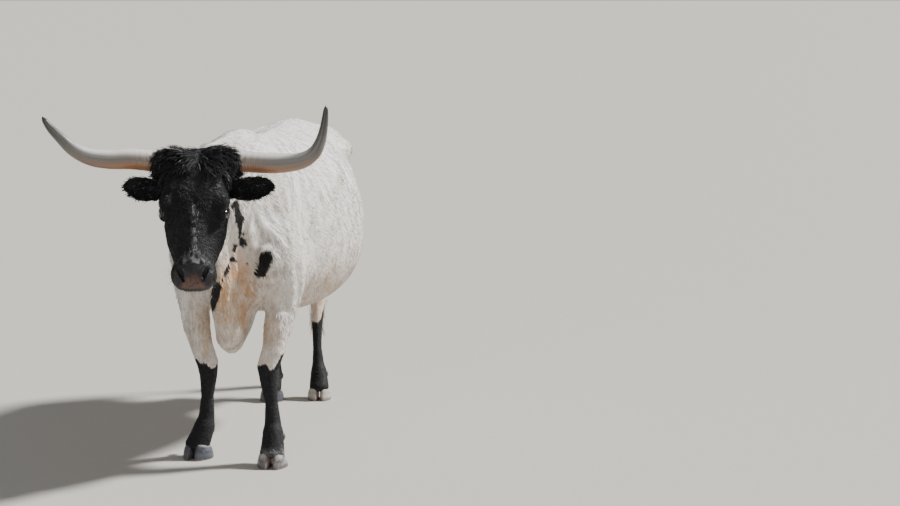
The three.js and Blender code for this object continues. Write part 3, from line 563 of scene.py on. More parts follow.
def face_relief(p, h):
    x, y, z = np.abs(h[:, 0]) / HEAD, h[:, 1] / HEAD, h[:, 2] / HEAD
    front = smoothstep(2, 8, z)
    out = 4.5 * front * bell(x, 16.5, 3) * bell(y, -22, 10)
    out -= 3.5 * front * bell(x, 0, 7) * bell(y, -30, 13)
    out -= 3 * bell(x, 12, 3.5) * bell(y, -55, 9) * front
    out += 2.4 * smoothstep(10, 15, x) * bell(y + 1.1 * z, -52, 3.5) * bell(z, -4, 7)
    return out + 0.8 * noise(p, 30, 5) + 0.5 * noise(p, 12, 6)


def plain_value(p, detailed=False):
    value = flesh(p) + coat_depth(p)
    h = into_head(p)
    if detailed:
        headed = head_share(p, 60)
        body, face = headed < 0.999, headed > 0.001
        value[body] -= relief(p[body]) * (1 - headed[body])
        value[face] -= face_relief(p[face], h[face]) * headed[face]
    near = (h[:, 1] < -20 * HEAD) & (h[:, 1] > -120 * HEAD)
    near &= (np.abs(h[:, 0]) < 200) & (np.abs(h[:, 2]) < 260)
    if near.any():
        value[near] = faced(h[near], value[near])
    return np.maximum(value, SKIN_BOTTOM - p[:, 2])


def skin_value(p):
    return plain_value(p, True)


def in_chunks(function, p, size=150000):
    return np.concatenate([function(p[i : i + size]) for i in range(0, len(p), size)])


def slope_of(p, step=0.5):
    g = np.empty_like(p)
    here = in_chunks(plain_value, p)
    for axis in range(3):
        q = p.copy()
        q[:, axis] += step
        g[:, axis] = (in_chunks(plain_value, q) - here) / step
    return g


# Moves points onto the skin, each by no more than `most` a time.
def settled(p, most, times=3):
    for _ in range(times):
        value = in_chunks(skin_value, p)
        g = slope_of(p)
        size = np.maximum((g**2).sum(1), 0.15)
        move = g * (-value / size)[:, None]
        length = norms(move)
        move *= np.minimum(1, most / np.maximum(length, 1e-9))[:, None]
        p = p + move
    return p


def shifted(axis):
    """Two views of a grid that stand one step apart along an axis."""
    ahead, behind = [slice(None)] * 3, [slice(None)] * 3
    ahead[axis], behind[axis] = slice(1, None), slice(None, -1)
    return tuple(ahead), tuple(behind)


GRID_LOW, GRID_HIGH = np.array([-450.0, -860, 20]), np.array([450.0, 1550, 1450])
COARSE = 4  # cells of the rough grid, which finds where the skin may be


def grid_values(low, cell, count):
    """The skin's value on a grid, exact near the skin and rough elsewhere."""
    axes = [low[i] + cell * np.arange(count[i]) for i in range(3)]
    grid = np.stack(np.meshgrid(*axes, indexing="ij"), axis=-1)
    coarse = grid[::COARSE, ::COARSE, ::COARSE]
    sign = in_chunks(flesh, coarse.reshape(-1, 3)).reshape(coarse.shape[:3])
    near = np.abs(sign) < cell * COARSE * 1.8 + 12
    for axis in range(3):
        wide = near.copy()
        ahead, behind = shifted(axis)
        wide[ahead] |= near[behind]
        wide[behind] |= near[ahead]
        near = wide
    for axis in range(3):
        near, sign = near.repeat(COARSE, axis), sign.repeat(COARSE, axis)
    inner = tuple(slice(None, c) for c in count)
    near, values = near[inner], sign[inner].copy()
    values[near] = in_chunks(skin_value, grid[near])
    return values


# A mesh with one vertex in each cell of a grid that the skin crosses: points and quads.
def skin_net(cell):
    count = np.ceil((GRID_HIGH - GRID_LOW) / cell).astype(int) + 1
    values = grid_values(GRID_LOW, cell, count)
    cells = tuple(count - 1)
    total, crossings = np.zeros((*cells, 3)), np.zeros(cells)
    edges = []
    for axis in range(3):
        others = [a for a in range(3) if a != axis]
        two, one = shifted(axis)
        a, b = values[one], values[two]
        cross = (a < 0) != (b < 0)
        index = np.argwhere(cross)
        place = index.astype(float)
        place[:, axis] += a[cross] / (a[cross] - b[cross])
        for i in (0, 1):
            for j in (0, 1):
                c = index.copy()
                c[:, others[0]] -= i
                c[:, others[1]] -= j
                ok = ((c >= 0) & (c < np.array(cells))).all(1)
                np.add.at(total, tuple(c[ok].T), place[ok])
                np.add.at(crossings, tuple(c[ok].T), 1)
        edges.append((axis, index, a[cross] < 0))
    used = crossings > 0
    number = np.full(cells, -1)
    number[used] = np.arange(used.sum())
    points = GRID_LOW + cell * total[used] / crossings[used][:, None]
    quads = []
    for axis, index, starts_inside in edges:
        ring = []
        for s, t in ((0, 0), (1, 0), (1, 1), (0, 1)):
            c = index.copy()
            c[:, (axis + 1) % 3] -= s
            c[:, (axis + 2) % 3] -= t
            ring.append(number[tuple(c.T)])
        ring = np.stack(ring, axis=1)
        ring[~starts_inside] = ring[~starts_inside][:, ::-1]
        quads.append(ring)
    return points, np.concatenate(quads)


def linked(name, data):
    made = bpy.data.objects.new(name, data)
    bpy.context.scene.collection.objects.link(made)
    return made


def mesh_object(name, points, faces):
    """A smooth object from points in the animal's frame, in mm, and faces of three or four corners."""
    mesh = bpy.data.meshes.new(name)
    faces = np.asarray(faces)
    corners = faces.shape[1]
    mesh.vertices.add(len(points))
    mesh.vertices.foreach_set("co", to_row(points).astype(np.float32).ravel())
    mesh.loops.add(faces.size)
    mesh.loops.foreach_set("vertex_index", faces.astype(np.int32).ravel())
    mesh.polygons.add(len(faces))
    mesh.polygons.foreach_set("loop_start", np.arange(0, faces.size, corners, dtype=np.int32))
    mesh.polygons.foreach_set("use_smooth", np.full(len(faces), True))
    mesh.update(calc_edges=True)
    mesh.validate()
    return linked(name, mesh)


def corners_of(piece):
    corners = np.empty(len(piece.data.loops), np.int32)
    piece.data.loops.foreach_get("vertex_index", corners)
    return corners


def store_map(piece, name, uv):
    piece.data.uv_layers.new(name=name).data.foreach_set("uv", uv.astype(np.float32).ravel())


def placed(piece, material, slot, *nodes):
    piece.data.materials.clear()
    piece.data.materials.append(material)
    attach(piece, "root")
    if nodes:
        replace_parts(piece, *nodes)
    return piece


def relaxed(points, pairs, amount, times):
    for _ in range(times):
        total, count = np.zeros_like(points), np.zeros(len(points))
        for a, b in ((0, 1), (1, 0)):
            for axis in range(3):
                total[:, axis] += np.bincount(pairs[:, a], points[pairs[:, b], axis], len(points))
            count += np.bincount(pairs[:, a], minlength=len(points))
        points = points + amount * (total / count[:, None] - points)
    return points


def paint(piece, name, values):
    """Stores four numbers a vertex, for the materials."""
    layer = piece.data.color_attributes.new(name, "FLOAT_COLOR", "POINT")
    layer.data.foreach_set("color", np.stack(values, axis=1).astype(np.float32).ravel())


# Markings. Each spot is a run of places with a radius, in the animal's frame.
SPOTS = [
    ([[173, -192, 900], [153, -182, 856], [139, -174, 828]], 25),
    ([[12, -372, 806], [-8, -340, 756], [-36, -272, 700]], 18),
    ([[103, -391, 1132], [98, -325, 1062]], 19),
    ([[98, -325, 1062], [90, -262, 995], [84, -226, 955]], 14), ([[60, -262, 930], [62, -256, 950]], 9),
    ([[47, -266, 892]], 11), ([[45, -296, 880], [34, -340, 828]], 11), ([[94, -201, 872]], 5),
    ([[180, -2, 506], [182, 4, 520]], 13), ([[-352, 560, 1010], [-356, 600, 980]], 34),
    ([[-300, 300, 930]], 16),
]


def spotted(p):
    """How black a point of the body is through its spots."""
    ragged = noise(p, 46, 7) * 0.22 + noise(p, 18, 8) * 0.09 + noise(p, 7, 9) * 0.05
    best = np.full(len(p), -1e6)
    for places, radius in SPOTS:
        places = np.array(places, float)
        if len(places) == 1:
            places = np.repeat(places, 2, axis=0) + [[0, 0, 0], [0, 0, 1]]
        for a, b in zip(places[:-1], places[1:]):
            along = b - a
            t = np.clip((p - a) @ along / (along @ along), 0, 1)
            q = (p - a - t[:, None] * along) * [1, 0.35, 1]
            best = np.maximum(best, radius * (1 + ragged) - norms(q))
    return smoothstep(-1.5, 1.5, best)


def sock_level(p):
    """The height to which a leg is black at a point."""
    beside, behind = p[:, 0] - leg_middle(p)[:, 0] * BODY, p[:, 1] / BODY - leg_middle(p)[:, 1]
    fore, left = p[:, 1] < 600, p[:, 0] > 0
    fore_left = 14 * bell(beside, -4, 14) - 24 * bell(beside, 29, 8) + 40 * smoothstep(36, 46, beside)
    rear = smoothstep(0.8, 3.2, behind)
    fore_left = fore_left * smoothstep(3, 0, behind) + 46 * rear
    fore_right = 10 * bell(beside, -24, 16) - 26 * smoothstep(-4, 34, beside) + 12 * rear
    edge = 95 * smoothstep(6, 29, beside) * smoothstep(-3, 1, behind) * left
    hind = 60 * smoothstep(0.5, 2.8, behind) + edge
    level = np.where(fore, 424 + np.where(left, fore_left, fore_right), 372 + hind)
    level = level + 6 * (np.abs(p[:, 0]) > 160)
    return level + 11 * noise(p * [1, 1, 0.25], 26, 11) + 7 * noise(p * [1, 1, 0.3], 9, 12)


def black_share(p):
    sock = smoothstep(-3, 3, sock_level(p) - p[:, 2]) * (p[:, 2] < 600)
    ragged = 9 * noise(p, 26, 13) + 5 * noise(p, 10, 14)
    head = smoothstep(-4, 4, before_throat(p, 52) + ragged)
    return np.clip(np.maximum(np.maximum(sock, head), spotted(p)), 0, 1)


def stain_and_shade_share(p):
    """Tan stain on the chest and the insides of the forelegs, and a painted warm shade low on the barrel and
    belly.
    """
    blotch = 0.85 + 0.6 * noise(p, 60, 15) + 0.4 * noise(p, 22, 16)
    streaks = 0.85 + 0.5 * noise(p * [1, 1, 0.25], 13, 18)
    chest = 1.15 * bell(p[:, 0], 62, 64) * bell(p[:, 2], 775, 130) * (p[:, 1] < -60)
    breast = 0.42 * bell(p[:, 0], 20, 120) * smoothstep(900, 740, p[:, 2]) * smoothstep(40, -60, p[:, 1])
    inner = bell(p[:, 2], 540, 120) * bell(np.abs(p[:, 0]), 135, 60) * (p[:, 1] < 150) * 0.5
    # Painted shade: the lower barrel and the belly are made warmer and darker, where the body shades itself.
    belly_shade = smoothstep(900, 620, p[:, 2]) * (p[:, 1] > 60) * 0.42
    return np.clip(blotch, 0.25, 1.3) * streaks * np.clip(chest + breast + inner + belly_shade, 0, 1)


def grey_hair_and_highlight_share(p):
    """Pale hairs on the bridge of the nose, partly a painted highlight along its ridge, and painted
    highlights on the brow and the forehead of the left side and on the edge above the muzzle.
    """
    h = into_head(p) / HEAD
    q = into_level(p)
    front = smoothstep(2, 8, h[:, 2])
    width = 1.8 + 5.5 * smoothstep(-66, -78, h[:, 1])
    # Grey hairs along the bridge of the nose, partly a painted highlight on its ridge.
    bridge = bell(h[:, 0] - 0.8, 0, width) * smoothstep(-34, -46, h[:, 1]) * smoothstep(-84, -79, h[:, 1])
    # Painted highlight on the edge where the muzzle starts.
    edge = bell(h[:, 1], -77.5, 2.4) * smoothstep(13, 8, np.abs(h[:, 0])) * 0.35
    # Painted highlight on the brow of the left side, where the light falls.
    brow = bell(h[:, 0], 15.5, 4.2) * bell(h[:, 1], -24, 10) * 0.34
    streaks = np.clip(0.45 + 0.9 * noise(p * [1, 1, 0.4], 9, 17), 0, 1)
    face = (bridge + edge + brow) * front * streaks * head_share(p) * (q[:, 2] < 60)
    band = 0.75 * bell(p[:, 2], 66, 14) * (p[:, 0] > 0) * (p[:, 1] < 0) * (0.4 + 0.6 * streaks)
    return np.clip(face + band, 0, 1)


def pad_share(p):
    """The bare skin of the muzzle."""
    h = into_head(p) / HEAD
    edge = -79.4 - 0.022 * h[:, 0] ** 2
    pad = smoothstep(0.7, -0.7, h[:, 1] - edge) * smoothstep(-5.4, -3.8, h[:, 2])
    return pad * smoothstep(14.4, 12.6, np.abs(h[:, 0]))


def pink_share(p):
    """The brown pink of the muzzle between and below the nostrils."""
    h = into_head(p) / HEAD
    blotch = 0.8 + 0.5 * noise(p, 7, 19)
    half = 4.2 + 0.62 * np.clip(-88 - h[:, 1], 0, 8)
    wide = smoothstep(half + 2.6, half - 2.2, np.abs(h[:, 0]))
    return np.clip(blotch, 0, 1) * wide * smoothstep(-84.6, -91.6, h[:, 1]) * smoothstep(-1.4, 0.6, h[:, 2])


def lid_share(p):
    """The bare rims of the eyelids."""
    rim = np.zeros(len(p))
    near = eye_near(p) < 34
    h = into_head(p[near])
    for _, balls, _ in LIDS.values():
        far = np.maximum(balls[0](h), balls[1](h))
        rim[near] = np.maximum(rim[near], smoothstep(3.6, 1.6, far))
    return rim


def lie_of(p, n):
    """The way the hair lies: unit vectors along the skin."""
    h = into_head(p)
    whorl = np.array([0, -22.0, 15]) * HEAD
    face = (h - whorl) * [1, 1, 0.3]
    face = face / np.maximum(norms(face), 25)[:, None]
    face = (face + np.array([0, -0.12, 0])) @ TILTED.T
    share = head_share(p)[:, None]
    down = smoothstep(52, 40, p[:, 2] / BODY)[:, None]
    body = np.tile([0.0, 0.8, -0.5], (len(p), 1))
    body[:, 2] -= 0.5 * smoothstep(-2, -20, p[:, 1] / BODY)
    body[:, 0] += 0.25 * np.sign(p[:, 0]) * smoothstep(90, 98, p[:, 2] / BODY)
    leg = np.tile([0.0, 0.12, -1.0], (len(p), 1))
    way = body * (1 - down) + leg * down
    tail = smoothstep(1440, 1470, p[:, 1])[:, None] * (np.abs(p[:, 0:1]) < 60)
    way = way * (1 - tail) + np.array([0, 0, -1.0]) * tail
    way = way * (1 - share) + face * share
    swirl = 0.3 * noise(p, 110, 21) + 0.16 * noise(p, 34, 22)
    way = way - n * (way * n).sum(1)[:, None]
    way /= np.maximum(norms(way), 1e-6)[:, None]
    side = np.cross(n, way)
    return way * np.cos(swirl)[:, None] + side * np.sin(swirl)[:, None]


# An unwrap of the skin by its own parts: round each part's axis, and along it.
def unwrapped(p):
    z, y = p[:, 2] / BODY, p[:, 1] / BODY
    h = into_head(p)
    share = head_share(p) > 0.5
    u = 0.30 + 0.66 * (np.arctan2(p[:, 0], p[:, 2] - 70 * BODY) / (2 * np.pi) + 0.5)
    v = 0.04 + 0.56 * np.clip((y + 40) / 155, 0, 1)
    u = np.where(share, 0.02 + 0.24 * (np.arctan2(h[:, 0], h[:, 2]) / (2 * np.pi) + 0.5), u)
    v = np.where(share, 0.04 + 0.9 * np.clip((h[:, 1] / HEAD + 100) / 120, 0, 1), v)
    low = (z < 46) & ~share
    for i, joints in enumerate(LEGS.values()):
        rows = np.array(joints)[::-1] * BODY
        x = np.interp(p[:, 2], rows[:, 2], rows[:, 0])
        back = np.interp(p[:, 2], rows[:, 2], rows[:, 1])
        mine = low & (np.hypot(p[:, 0] - x, p[:, 1] - back) < 110)
        turn = np.arctan2(p[:, 0] - x, p[:, 1] - back) / (2 * np.pi) + 0.5
        u = np.where(mine, 0.30 + 0.165 * i + 0.15 * turn, u)
        v = np.where(mine, 0.64 + 0.32 * z / 46, v)
    return np.stack([u, v], axis=1)


# Tufts. Each is a closed sliver of three sides that bends from its root to its tip.
BEND = 1.7


def sliver_mesh(roots, normals, ways, length, width, lift, curl, stations):
    """Points and triangles of tufts. `lift` is how far the tip stands off the skin, `curl` how far aside."""
    side = np.cross(normals, ways)
    rings = []
    for i in range(stations):
        t = i / stations
        shape = (1 - t) ** 0.4 * (0.75 + 0.6 * t) if i else 0.8
        middle = roots + ways * (length * t)[:, None] + normals * (lift * math.sin(t * BEND))[:, None]
        middle = middle + side * (curl * t * t)[:, None]
        half, thick = side * (width * 0.5 * shape)[:, None], width * 0.22 * shape
        under = normals * (thick * 0.4)[:, None]
        rings += [middle + half - under, middle + normals * thick[:, None], middle - half - under]
    tip = roots + ways * length[:, None] + normals * (lift * math.sin(BEND))[:, None]
    rings.append(tip + side * curl[:, None])
    each = 3 * stations + 1
    points = np.stack(rings, axis=1).reshape(-1, 3)
    faces = [[0, 1, 2]]
    for a in range(0, 3 * (stations - 1), 3):
        for s in range(3):
            t = (s + 1) % 3
            faces += [[a + s, a + 3 + s, a + t], [a + t, a + 3 + s, a + 3 + t]]
    last = 3 * (stations - 1)
    faces += [[last + s, each - 1, last + (s + 1) % 3] for s in range(3)]
    faces = np.array(faces)[None] + each * np.arange(len(roots))[:, None, None]
    along = np.array([i / stations for i in range(stations) for _ in range(3)] + [1.0])
    return points, faces.reshape(-1, 3), each, along


def coat_piece(name, tufts, seed, material, slot, stations=2, dye=None):
    """One piece of coat. `tufts` holds roots, normals, ways, lengths, widths, lifts and curls."""
    roots, _, ways, length = tufts[:4]
    points, faces, each, along = sliver_mesh(*tufts, stations)
    piece = mesh_object(name, points, faces)
    draw = np.random.default_rng(seed)
    half_way = roots + ways * (length * 0.45)[:, None]
    black, stain, grey = dye or (black_share(half_way), stain_and_shade_share(half_way), grey_hair_and_highlight_share(half_way))
    black = (draw.random(len(roots)) < black).astype(float) * 0.9 + 0.1 * black
    grey = (draw.random(len(roots)) < grey * 0.8) * (0.4 + 0.6 * draw.random(len(roots)))
    tone = draw.random(len(roots))
    paint(piece, "coat", [np.repeat(v, each) for v in (black, stain, grey, tone)])
    # How far along its tuft each point is, for the painted shade towards the root.
    tips = np.tile(along, len(roots))
    paint(piece, "tip", [tips, tips * 0, tips * 0, tips * 0 + 1])
    patch = np.stack([np.cos(np.arange(each) * 2.4), np.sin(np.arange(each) * 2.4)], axis=1) * 0.0015
    uv = (unwrapped(roots)[:, None, :] + patch[None]).reshape(-1, 2)
    store_map(piece, "OFBake", uv[corners_of(piece)])
    return placed(piece, material, slot)


def scattered(points, faces, density, draw):
    """Random places on triangles, `density` a square centimetre, as a function that reads values at them."""
    a, b, c = (points[faces[:, i]] for i in range(3))
    area = norms(np.cross(b - a, c - a)) / 200
    hits = draw.poisson(area * density)
    which = np.repeat(np.arange(len(faces)), hits)
    r1, r2 = np.sqrt(draw.random(len(which))), draw.random(len(which))
    weights = np.stack([1 - r1, r1 * (1 - r2), r1 * r2], axis=1)
    corners = faces[which]

    def there(values):
        return (values[corners] * (weights if values.ndim == 1 else weights[..., None])).sum(1)

    return there


def triangles_of(points, quads):
    """Two triangles for each quad, split along its shorter diagonal."""
    one = norms(points[quads[:, 0]] - points[quads[:, 2]])
    two = norms(points[quads[:, 1]] - points[quads[:, 3]])
    a = np.where((one < two)[:, None], quads, np.roll(quads, -1, axis=1))
    return np.concatenate([a[:, [0, 1, 2]], a[:, [0, 2, 3]]])


def distinct(pairs):
    pairs = np.sort(pairs, axis=1).astype(np.int64)
    most = pairs.max() + 1
    key, inverse = np.unique(pairs[:, 0] * most + pairs[:, 1], return_inverse=True)
    return np.stack([key // most, key % most], axis=1), inverse


def pairs_of(faces):
    pairs = np.concatenate([faces[:, [i, (i + 1) % faces.shape[1]]] for i in range(faces.shape[1])])
    return distinct(pairs)[0]


# Splits the wanted triangles in four, and their neighbours so that no corner is left hanging.
def refined(points, faces, wanted):
    pairs, inverse = distinct(np.concatenate([faces[:, [0, 1]], faces[:, [1, 2]], faces[:, [2, 0]]]))
    edge_of = inverse.reshape(3, -1).T
    split = np.zeros(len(pairs), bool)
    split[edge_of[wanted].ravel()] = True
    number = np.full(len(pairs), -1)
    number[split] = len(points) + np.arange(split.sum())
    points = np.concatenate([points, points[pairs[split]].mean(axis=1)])
    marks = split[edge_of]
    count = marks.sum(1)
    made = [faces[count == 0]]
    for total in (1, 2):
        for i in range(3):
            rolled = np.roll(marks, -i, axis=1)
            mine = (count == total) & rolled[:, 0] & (rolled[:, 1] == (total == 2))
            f, e = np.roll(faces[mine], -i, axis=1).T, number[np.roll(edge_of[mine], -i, axis=1)].T
            if total == 1:
                made += [np.stack(c, 1) for c in ((f[0], e[0], f[2]), (e[0], f[1], f[2]))]
            else:
                made += [np.stack(c, 1) for c in ((e[0], f[1], e[1]), (f[0], e[0], e[1]), (f[0], e[1], f[2]))]
    f, e = faces[count == 3], number[edge_of[count == 3]]
    made.append(e)
    made += [np.stack([f[:, i], e[:, i], e[:, (i + 2) % 3]], 1) for i in range(3)]
    return points, np.concatenate(made)


def normals_of(points, faces):
    a, b, c = (points[faces[:, i]] for i in range(3))
    face = np.cross(b - a, c - a)
    total = np.zeros_like(points)
    for i in range(3):
        for axis in range(3):
            total[:, axis] += np.bincount(faces[:, i], face[:, axis], len(points))
    return unit(total)


def eye_near(p):
    return np.minimum(*(norms(p - eye_place(s)) for s in SIDES.values()))


def wants(level, middle):
    """Which triangles, by their middles, are split at each level of detail."""
    h = into_head(middle) / HEAD
    headed = head_share(middle, 60) > 0.05
    if level == 0:
        marks = black_share(middle)
        return headed | ((marks > 0.02) & (marks < 0.98))
    muzzle = headed & (h[:, 1] < -68)
    eyes = headed & (eye_near(middle) < 58)
    if level == 1:
        return muzzle | eyes
    lips = mouth_form(h * HEAD) < 9
    holes = np.minimum(*(nostril(h * HEAD) for nostril in nostril_forms)) < 7
    return headed & ((eye_near(middle) < 33) | (muzzle & (lips | holes)))


BUILT = {}


def build_skin(cell):
    points, quads = skin_net(cell)
    pairs = pairs_of(quads)
    points = relaxed(points, pairs, 0.4, 2)
    points = settled(points, cell * 0.5, 2)
    faces = triangles_of(points, quads)
    for level in range(3):
        wanted = wants(level, points[faces].mean(axis=1))
        before = len(points)
        points, faces = refined(points, faces, wanted)
        used = np.zeros(len(points), bool)
        used[before:] = True
        pairs = pairs_of(faces)
        touched = used[pairs].any(1)
        used[pairs[touched].ravel()] = True
        smoothed = relaxed(points, pairs, 0.4, 1)
        points[used] = settled(smoothed[used], cell * 0.4 / 2**level, 2)
    return points, faces


class Graph:
    """Adds nodes to a tree and feeds their inputs."""

    def __init__(self, tree):
        self.tree = tree

    def add(self, kind, **inputs):
        node = self.tree.nodes.new(kind)
        for key, value in inputs.items():
            self.feed(node.inputs[key.replace("_", " ")], value)
        return node

    def feed(self, socket, value):
        if isinstance(value, bpy.types.NodeSocket):
            self.tree.links.new(value, socket)
        else:
            socket.default_value = value

    def math(self, operation, a, b):
        node = self.tree.nodes.new("ShaderNodeMath")
        node.operation = operation
        self.feed(node.inputs[0], a)
        self.feed(node.inputs[1], b)
        return node.outputs[0]

    def times(self, a, b):
        return self.math("MULTIPLY", a, b)

    def plus(self, a, b):
        return self.math("ADD", a, b)

    def minus(self, a, b):
        return self.math("SUBTRACT", a, b)


class Nodes(Graph):
    """A material, built from a few helpers."""

    def __init__(self, name):
        self.material = bpy.data.materials.new(name)
        self.material.use_nodes = True
        super().__init__(self.material.node_tree)
        self.shader = self.tree.nodes["Principled BSDF"]

    def coordinates(self, scale, turn=(0, 0, 0)):
        source = self.add("ShaderNodeTexCoord").outputs["Object"]
        return self.add("ShaderNodeMapping", Vector=source, Scale=scale, Rotation=turn).outputs["Vector"]

    def along(self, name, scale):
        source = self.add("ShaderNodeUVMap")
        source.uv_map = name
        return self.add("ShaderNodeMapping", Vector=source.outputs["UV"], Scale=scale).outputs["Vector"]

    def noise(self, vector, detail=3.0, roughness=0.55, distortion=0.0):
        sizes = {"Scale": 1.0, "Detail": detail, "Roughness": roughness, "Distortion": distortion}
        return self.add("ShaderNodeTexNoise", Vector=vector, **sizes).outputs["Fac"]

    def attribute(self, name):
        node = self.add("ShaderNodeVertexColor")
        node.layer_name = name
        parts = self.add("ShaderNodeSeparateColor", Color=node.outputs["Color"])
        return [*parts.outputs[:3], node.outputs["Alpha"]]

    def ranged(self, value, low, high, out_low=0.0, out_high=1.0):
        ends = {"From Min": low, "From Max": high, "To Min": out_low, "To Max": out_high}
        return self.add("ShaderNodeMapRange", Value=value, **ends).outputs["Result"]

    def mixed(self, share, a, b, blend="MIX"):
        node = self.tree.nodes.new("ShaderNodeMix")
        node.data_type = "RGBA"
        node.blend_type = blend
        self.feed(node.inputs["Factor"], share)
        self.feed(node.inputs[6], colour4(a))
        self.feed(node.inputs[7], colour4(b))
        return node.outputs[2]

    def layered(self, colour, *layers):
        for share, tint in layers:
            colour = self.mixed(share, colour, tint)
        return colour

    def bump(self, height, strength, distance):
        node = self.add("ShaderNodeBump", Height=height, Strength=strength, Distance=distance)
        return node.outputs["Normal"]

    def finish(self, **inputs):
        for key, value in inputs.items():
            self.feed(self.shader.inputs[key.replace("_", " ")], value)
        return self.material


def colour4(value):
    if isinstance(value, bpy.types.NodeSocket):
        return value
    return (*value[:3], 1.0)


def coat_colours(n, colours, black, stain, grey, tone):
    """The coat's colour from its markings, with painted highlights and a painted warm shade, and a tone that
    varies from hair to hair.
    """
    broad = n.noise(n.coordinates((7, 7, 7)), 4.0)
    dusty = n.noise(n.coordinates((26, 26, 11), (0.35, 0, 0)), 5.0, 0.62)
    white = n.layered(
        colours.white,
        (n.ranged(broad, 0.35, 0.7), colours.cream),
        (n.ranged(dusty, 0.47, 0.68, 0.0, 0.8), colours.dust),
        (n.ranged(tone, 0.0, 1.0, 0.0, 0.35), colours.shade),
        # The stain layer also holds the painted warm shade low on the barrel and belly.
        (stain, colours.stain),
    )
    dark = n.mixed(n.ranged(tone, 0.2, 1.0), colours.black, colours.black_sheen)
    # The grey layer holds grey hairs and painted highlights of the face.
    return n.layered(white, (black, dark), (grey, colours.grey))


HAIR_SHINE = 0.3


def skin_material(colours):
    n = Nodes("skin")
    black, stain, grey, pad = n.attribute("coat")
    fine = n.noise(n.coordinates((420, 90, 260), (0.5, 0, 0)), 5.0, 0.6)
    down = n.noise(n.coordinates((420, 420, 70)), 5.0, 0.6)
    dapple = n.noise(n.coordinates((60, 60, 60)), 6.0, 0.65)
    stained = n.times(stain, n.minus(1.0, pad))
    colour = coat_colours(n, colours, black, stained, grey, n.ranged(fine, 0.3, 0.7))
    bare = n.mixed(stain, colours.muzzle_dark, colours.muzzle)
    bare = n.mixed(n.ranged(dapple, 0.5, 0.75, 0.0, 0.45), bare, colours.muzzle_dark)
    pebbles = n.add("ShaderNodeTexVoronoi", Vector=n.coordinates((1, 1, 1)), Scale=330.0)
    height = n.add("ShaderNodeMix", Factor=pad)
    n.feed(height.inputs[2], n.plus(n.times(fine, 0.6), n.times(down, 0.4)))
    n.feed(height.inputs[3], pebbles.outputs["Distance"])
    return n.finish(
        Base_Color=n.mixed(pad, colour, bare),
        Roughness=n.ranged(pad, 0, 1, 0.66, 0.4),
        Normal=n.bump(height.outputs[0], 0.6, 0.0022),
        Specular_IOR_Level=HAIR_SHINE,
    )


def hair_material(name, colours, gloss):
    n = Nodes(name)
    black, stain, grey, tone = n.attribute("coat")
    colour = coat_colours(n, colours, black, stain, grey, tone)
    # Painted shade: each tuft is darker towards its root, where the coat shades it, and a little lighter at
    # its tip.
    depth = n.ranged(n.attribute("tip")[0], 0.0, 0.6, 0.84, 1.04)
    shade = n.add("ShaderNodeCombineColor", Red=depth, Green=depth, Blue=depth)
    grain = n.noise(n.coordinates((900, 300, 900)), 2.0)
    return n.finish(
        Base_Color=n.mixed(1.0, colour, shade.outputs["Color"], "MULTIPLY"),
        Roughness=n.ranged(black, 0, 1, 0.68, gloss + 0.08),
        Normal=n.bump(grain, 0.3, 0.0006),
        Specular_IOR_Level=HAIR_SHINE,
    )


def horn_material(colours):
    n = Nodes("horn")
    along, under, top_highlight, _ = n.attribute("horn")
    fibres = n.noise(n.along("Horn", (26, 3, 1)), 5.0, 0.6, 0.4)
    blotches = n.noise(n.coordinates((14, 14, 14)), 5.0, 0.6)
    rings = n.noise(n.along("Horn", (2, 60, 1)), 4.0, 0.55, 0.3)
    place = n.plus(along, n.times(n.minus(blotches, 0.5), 0.22))
    scurf = n.times(n.ranged(along, 0.3, 0.02), n.ranged(rings, 0.45, 0.62))
    colour = n.layered(
        colours.horn_root,
        (n.ranged(place, 0.02, 0.4), colours.horn),
        (n.ranged(fibres, 0.35, 0.75, 0.0, 0.6), colours.horn_grey),
        # Painted highlight: the upper side of the horn is made pale, where the light falls on it.
        (n.times(top_highlight, 0.75), colours.horn_highlight),
        (n.times(under, n.ranged(place, 0.75, 0.25)), colours.horn_under),
        (n.ranged(place, 0.62, 0.95), colours.horn_tip),
        (n.times(scurf, 0.65), colours.horn_scurf),
    )
    height = n.plus(n.times(rings, n.ranged(along, 0.5, 0.0, 0.15, 1.0)), n.times(fibres, 0.5))
    return n.finish(
        Base_Color=colour,
        Roughness=n.ranged(n.plus(along, n.times(fibres, 0.2)), 0.1, 0.9, 0.4, 0.24),
        Normal=n.bump(height, 0.55, 0.0018),
        Coat_Weight=0.15,
        Coat_Roughness=0.25,
    )


